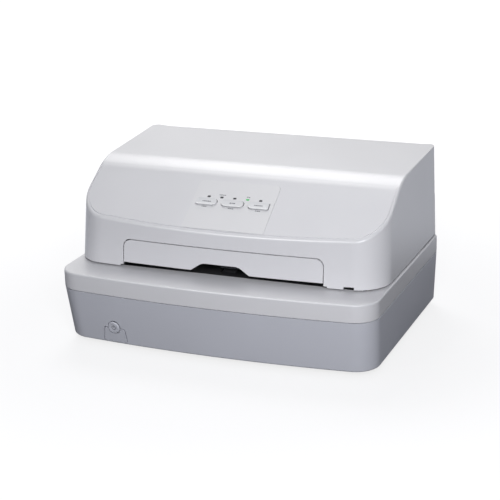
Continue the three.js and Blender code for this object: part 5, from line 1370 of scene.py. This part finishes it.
keys = (
    ("left", -key_pitch, 12.5, (1.4, 4.6, 4.6, 1.4)),
    ("middle", 0, 13.5, (4.6, 4.6, 4.6, 4.6)),
    ("right", key_pitch, 12.5, (4.6, 1.4, 1.4, 4.6)),
)
lamp_row, lamp_pitch, lamp_steps = -50, 16, (-2, -1, 0, 1, 2)


def key_shape(name, u, half, radii, grow, low, high):
    """The outline of one key on the slope, grown by a gap, between two heights."""
    return tablet(
        name,
        (u - half - grow, key_row - key_half_height - grow, low),
        (u + half + grow, key_row + key_half_height + grow, high),
        [r + grow for r in radii],
    )


def lamp_shape(name, step, across, up, low, high, corner, segments=6):
    """A small tablet at the place of one lamp of the row, counted from the middle."""
    u = step * lamp_pitch
    first, last = (u - across, lamp_row - up, low), (u + across, lamp_row + up, high)
    return tablet(name, first, last, (corner,) * 4, segments)


def front_openings(place=Matrix()):
    """The cutters for the keys and the lamps."""
    cutters = [key_shape("key_opening", u, half, radii, key_gap, -6, 6) for name, u, half, radii in keys]
    cutters += [lamp_shape("lamp_opening", step, 2.1, 1.45, -6, 6, 0.8) for step in lamp_steps]
    return [put(cutter, place) for cutter in cutters]


for cutter in front_openings(slope_place):
    carve(hood, cutter)
for side in (-1, 1):
    low, high = side * hinge_x - 3.5, side * hinge_x + 3.5
    lug = block("lug", (low, 133, pivot_z), (high, 137.75, pivot_z + 12))
    carve(lug, dowel("eye", low, high, lug_radius, 40, hinge_line), "UNION")
    carve(hood, lug, "UNION")
    drill(hood, side * hinge_x - 8, side * hinge_x + 8, hinge_bore, 32, hinge_line)
    low, high = (side * 123.6, -89.3, flap_axis_z - 4), (side * 127.6, flap_axis_y + 3, flap_axis_z + 4)
    bearing = block("bearing", low, high)
    round_edges(bearing, lambda a, b: abs(a.x - b.x) > 2 and a.y > -84, 2, 4)
    carve(hood, bearing, "UNION")
    drill(hood, side * 122.3, side * 131.6, 1.8, 24, flap_line)

# ribs under the top, and the bosses that carry the control board
for x in (-120, -60, 60, 120):
    rib = block("rib", (x - 0.75, 20, 190), (x + 0.75, 126, 196.9))
    slide(rib, lambda p: p.y > 100 and p.z > 195, (0, 0, 4.6))
    carve(hood, rib, "UNION")
board_spots = [(side * 42.5, v) for v in (-43.5, -68.5) for side in (-1, 1)]
for u, v in sorted(board_spots, key=lambda spot: (spot[0], -spot[1])):
    boss = put(turned("boss", [(-7.7, 2.5), (-2, 2.8)], 24), along("z", (u, v, 0)))
    carve(hood, put(boss, slope_place), "UNION")
soften(hood, 0.4, 2, 40)
dress(hood, casing_plastic, "hood_unit", "hood", slot="casing_plastic")

# Control board
# The small circuit board under the panel with one black key switch under each key, screwed to four bosses.
recoat(lacquer_green, "control_board")
for number, (u, v) in enumerate(board_spots, 1):
    under = slope_place @ Matrix.Translation((u * mm, v * mm, -9.6 * mm)) @ Matrix.Rotation(math.pi, 4, "X")
    screw("control_board_screw_%d" % number, under, 2, "hood_unit")
bpy.data.objects.remove(pan_head)

# Front flap
# A bowed plate in the hood's front wall, hung on two moulded pins near its top edge. Its finger notch
# lets the clerk guide a passbook, and the flap tilts out as the passbook passes.
flap = hood_blank("document_flap", 0, hood_bottom, 0)
carve(flap, hood_blank("room", wall, hood_bottom - 6, 0))
carve(flap, face_window("outline", 0, flap_foot, flap_corner), "INTERSECT")
notch = block("finger_notch", (-36, -112, 90), (36, -70, flap_foot + 9))
draw_in(notch, lambda p: p.z > 100, 0, 13.5)
slide(notch, lambda p: p.z < 95, (0, 0, 7.4))
round_edges(notch, lambda a, b: fore_aft(a, b) and a.z > 100, 4, 6)
carve(flap, notch)
for side in (-1, 1):
    inner, half = side * 114.3, 2.6
    high = (inner + side * 5, flap_axis_y + half, flap_axis_z + half)
    ear = block("ear", (inner, -89.2, flap_axis_z - half), high)
    round_edges(ear, lambda a, b: abs(a.x - b.x) > 2 and a.y > -84, 2.4, 5)
    carve(ear, dowel("pin", inner, side * 127.3, 1.5, 24, flap_line), "UNION")
    carve(flap, ear, "UNION")
for x in (-90, -60, 60, 90):
    behind = hood_front + 4 + 9 * (x / hood_half) ** 2
    rib = block("rib", (x - 0.6, behind, 100), (x + 0.6, behind + 3.2, 121))
    slide(rib, lambda p: p.y < behind + 1 and p.z < 110, (0, -1.5, 0))
    carve(flap, rib, "UNION")
soften(flap, 0.4, 3, 40)
dress(flap, casing_plastic, "flap", "front_flap", slot="casing_plastic")

# Control panel
# A thin inlay of the same grey plastic, let into the slope almost flush, with openings for keys and lamps.
# Short grey dashes stand for the words above two lamps and below the keys.
panel_plastic = moulded("panel_plastic", linear(213, 212, 214), 0.42, grain=0.18, cloud=0.02)
panel = tablet("panel_inlay", (-panel_half, panel_foot, -0.9), (panel_half, panel_top, 0.3), (0.4, 0.4, 6, 6))
for cutter in front_openings():
    carve(panel, cutter)
soften(panel, 0.18, 3, 40)
dress(put(panel, slope_place), panel_plastic, "hood_unit", "control_panel", slot="overlay_plastic")


def dashes(name, middle, v, lengths, space, half, low, high, corner):
    """A row of short printed dashes in the place of a word, between two heights over the slope."""
    at = middle - (sum(lengths) + space * (len(lengths) - 1)) / 2
    strokes = []
    for length in lengths:
        strokes.append(tablet("dash", (at, v - half, low), (at + length, v + half, high), (corner,) * 4, 3))
        at += length + space
    return put(gather(name, strokes), slope_place)


mark_over, mark_under = lamp_row + 3.6, key_row - 7.4
for name, u, v, lengths in (
    ("lamp_mark_left", -lamp_pitch, mark_over, (1.2, 2.1, 1.4, 1.8)),
    ("lamp_mark_right", lamp_pitch, mark_over, (1.6, 2.0)),
    ("key_mark_left", -key_pitch - 1, mark_under, (1.3, 2.2, 1.6)),
    ("key_mark_middle", 0, mark_under, (2.0, 1.4, 2.2)),
    ("key_mark_right", key_pitch + 1, mark_under, (1.5, 2.2, 1.4)),
):
    words = dashes(name, u, v, lengths, space=0.45, half=0.6, low=0.28, high=0.33, corner=0.3)
    dress(words, ink_grey, "hood_unit")

# Keys of the panel
# Three light keys with a crowned top, a lip that holds them in the hood and a stem on the key switch.
key_words = {"left": (1.4, 2.2, 1.2, 2.4, 1.6), "middle": (2.2, 1.3, 2.4), "right": (1.3, 2.0, 1.6, 2.1, 1.5)}
lip_foot = -3.8
for name, u, half, radii in keys:
    cap = key_shape("button_" + name + "_cap", u, half, radii, 0, lip_foot, 1.6)
    pick(cap, "FACE", lambda f, p: f.normal.z > 0.9)
    for inset, sink in ((0.7, 0.12), (1.6, 0.22)):
        bpy.ops.mesh.inset(thickness=inset * mm, use_even_offset=True)
        bpy.ops.transform.translate(value=(0, 0, -sink * mm))
    leave()
    wide = half + 1.1
    lip = tablet("lip", (u - wide, key_row - 3, lip_foot), (u + wide, key_row + 3, -2.8), (1,) * 4)
    carve(cap, lip, "UNION")
    stem = tablet("stem", (u - 1.5, key_row - 1.5, -5.2), (u + 1.5, key_row + 1.5, -3.5), (0.4,) * 4)
    carve(cap, stem, "UNION")
    soften(cap, 0.3, 3, 25)
    dress(put(cap, slope_place), key_plastic, "key_" + name, "button_" + name, slot="key_plastic")
    words = dashes(
        "button_" + name + "_print", u, key_row, key_words[name],
        space=0.4, half=0.7, low=1.2, high=1.3, corner=0.35,
    )
    dress(words, ink_grey, "key_" + name)

# Lamps
# One strip of dark smoked plastic leads the light of five diodes to small windows in the panel. The
# fourth window is green, as lit.


def smoked(name, colour, roughness, glow=0.0):
    """Clear tinted plastic with a polished face and faint flow streaks."""
    lens, shader = surface(name, colour, roughness)
    flow = pattern(lens, "Noise", Scale=260, Detail=3, Roughness=0.5, Distortion=1.2)
    shades(lens, flow, "Fac", shade(colour, 0.75), shade(colour, 1.35), shader)
    gloss(lens, flow, "Fac", roughness, roughness + 0.12, shader)
    if glow:
        shader.inputs["Emission Color"].default_value = (*colour, 1)
        shader.inputs["Emission Strength"].default_value = glow
    return lens


smoked_plastic = smoked("smoked_plastic", linear(62, 63, 66), 0.15)
green_lens = smoked("green_lens", linear(88, 176, 108), 0.15, glow=0.25)
pip_half, pip_up, pip_top, lit_lamp = 1.8, 1.15, 0.32, 1
guide = tablet("lamp_strip", (-35, lamp_row - 1.6, -4.4), (35, lamp_row + 1.6, -2.8), (0.5,) * 4, 4)
for step in lamp_steps:
    if step != lit_lamp:
        carve(guide, lamp_shape("pip", step, pip_half, pip_up, -3.5, pip_top, 0.6, 4), "UNION")
soften(guide, 0.2, 3, 40)
dress(put(guide, slope_place), smoked_plastic, "hood_unit", "lamp_light_guide", slot="lens_plastic")
pip = lamp_shape("lamp_green_window", lit_lamp, pip_half, pip_up, -2.75, pip_top, 0.6, 4)
soften(pip, 0.2, 3, 40)
dress(put(pip, slope_place), green_lens, "hood_unit", slot="lens_plastic")

# Studio
# A pale floor that runs off into white, a soft lamp in front on the right and one behind on the left, a
# small lamp for the bright line along the edges, and a dim room round it all.
bpy.ops.object.select_all(action="DESELECT")
bpy.ops.mesh.primitive_plane_add(size=12, location=(0, 0, -0.0002))
floor = bpy.context.object
floor.name = "floor"
bpy.ops.object.transform_apply(location=True)


def seen_directly(owner):
    """1 for what the camera, a reflection or a see-through face looks at, 0 for what only lights the
    object. It is output 0 of the node."""
    rays = node(owner, "LightPath")
    total, output = rays, "Is Camera Ray"
    for kind in ("Is Glossy Ray", "Is Transmission Ray"):
        add = node(owner, "Math", operation="ADD", use_clamp=True)
        wire(owner, total, output, add, 0)
        wire(owner, rays, kind, add, 1)
        total, output = add, 0
    return total


paper, paper_shader = surface("floor_paper", (0.13, 0.13, 0.14), 0.9)
far = node(paper, "VectorMath", operation="LENGTH")
wire(paper, node(paper, "TexCoord"), "Object", far, 0)
fade = mapped(paper, far, "Value", 0.8, 1.0, start=0.3, end=1.1)
# in reflections the floor carries a painted shadow: dark close to the object, as where the object would shade
# it, and pale further out; reflected, it is cool white
reflected_painted_shade = mapped(paper, far, "Value", 0.0, 1.0, start=0.36, end=0.52)
rays = node(paper, "LightPath")
either = node(paper, "Mix", data_type="FLOAT")
wire(paper, rays, "Is Glossy Ray", either, 0)
wire(paper, fade, "Result", either, 2)
wire(paper, reflected_painted_shade, "Result", either, 3)
strength = node(paper, "Math", operation="MULTIPLY")
wire(paper, either, 0, strength, 0)
wire(paper, seen_directly(paper), 0, strength, 1)
cool_white, plain_white = (0.88, 0.91, 1), (1, 1, 1)
paper_glow = node(paper, "Emission")
wire(paper, blend(paper, rays, "Is Glossy Ray", plain_white, cool_white), 2, paper_glow, "Color")
wire(paper, strength, 0, paper_glow, "Strength")
both = node(paper, "AddShader")
wire(paper, paper_shader, 0, both, 0)
wire(paper, paper_glow, 0, both, 1)
wire(paper, both, 0, paper.node_tree.nodes["Material Output"], "Surface")
floor.data.materials.append(paper)


lamp_aim = (0, 0, 0.1)


def lamp(name, place, size, power, colour=plain_white):
    """A round lamp aimed at the object."""
    data = bpy.data.lights.new(name, "AREA")
    data.shape, data.size, data.energy, data.color = "DISK", size, power, colour
    light = bpy.data.objects.new(name, data)
    bpy.context.scene.collection.objects.link(light)
    light.location = place
    light.rotation_euler = (Vector(lamp_aim) - Vector(place)).to_track_quat("-Z", "Y").to_euler()
    return light


lamp("front_lamp", (0.5, -1.1, 0.72), size=0.4, power=12.3, colour=(0.97, 0.98, 1))
# this one is seen in reflections only, where it draws the bright line along the rounded edges
lamp("rim_lamp", (-0.68, -1.66, 1.65), size=0.15, power=28).visible_diffuse = False
lamp("top_lamp", (-0.5, 0.95, 1.5), size=1.0, power=17.5, colour=(1, 0.995, 0.98))
world = bpy.data.worlds.new("studio")
bpy.context.scene.world = world
world.use_nodes = True
sky = world.node_tree.nodes["Background"]
direct = seen_directly(world)
room_level, room_tint = 0.175, (0.85, 0.91, 1)
wire(world, blend(world, direct, 0, room_tint, plain_white), 2, sky, "Color")
wire(world, mapped(world, direct, 0, room_level, 1.0), "Result", sky, "Strength")
bpy.context.scene.view_settings.view_transform = "Standard"

# camera solved from the photograph's outlines: azimuth, elevation and roll in degrees
azimuth, elevation, roll = math.radians(22.3), math.radians(18.53), math.radians(-1.52)
target, distance, lens = Vector((-2.31, 2.0, 93.31)) * mm, 1.77162, 106.94
level_out = math.cos(elevation)
back = Vector((math.sin(azimuth) * level_out, -math.cos(azimuth) * level_out, math.sin(elevation)))
right = Vector((math.cos(azimuth), math.sin(azimuth), 0))
up = back.cross(right)
rolled_right = right * math.cos(roll) + up * math.sin(roll)
rolled_up = up * math.cos(roll) - right * math.sin(roll)
eye = bpy.data.cameras.new("camera")
eye.lens, eye.sensor_width, eye.clip_start, eye.clip_end = lens, 36, 0.05, 20
camera = bpy.data.objects.new("camera", eye)
bpy.context.scene.collection.objects.link(camera)
camera.matrix_world = Matrix.Translation(target + back * distance) @ Matrix(
    (rolled_right, rolled_up, back)
).transposed().to_4x4()
bpy.context.scene.camera = camera
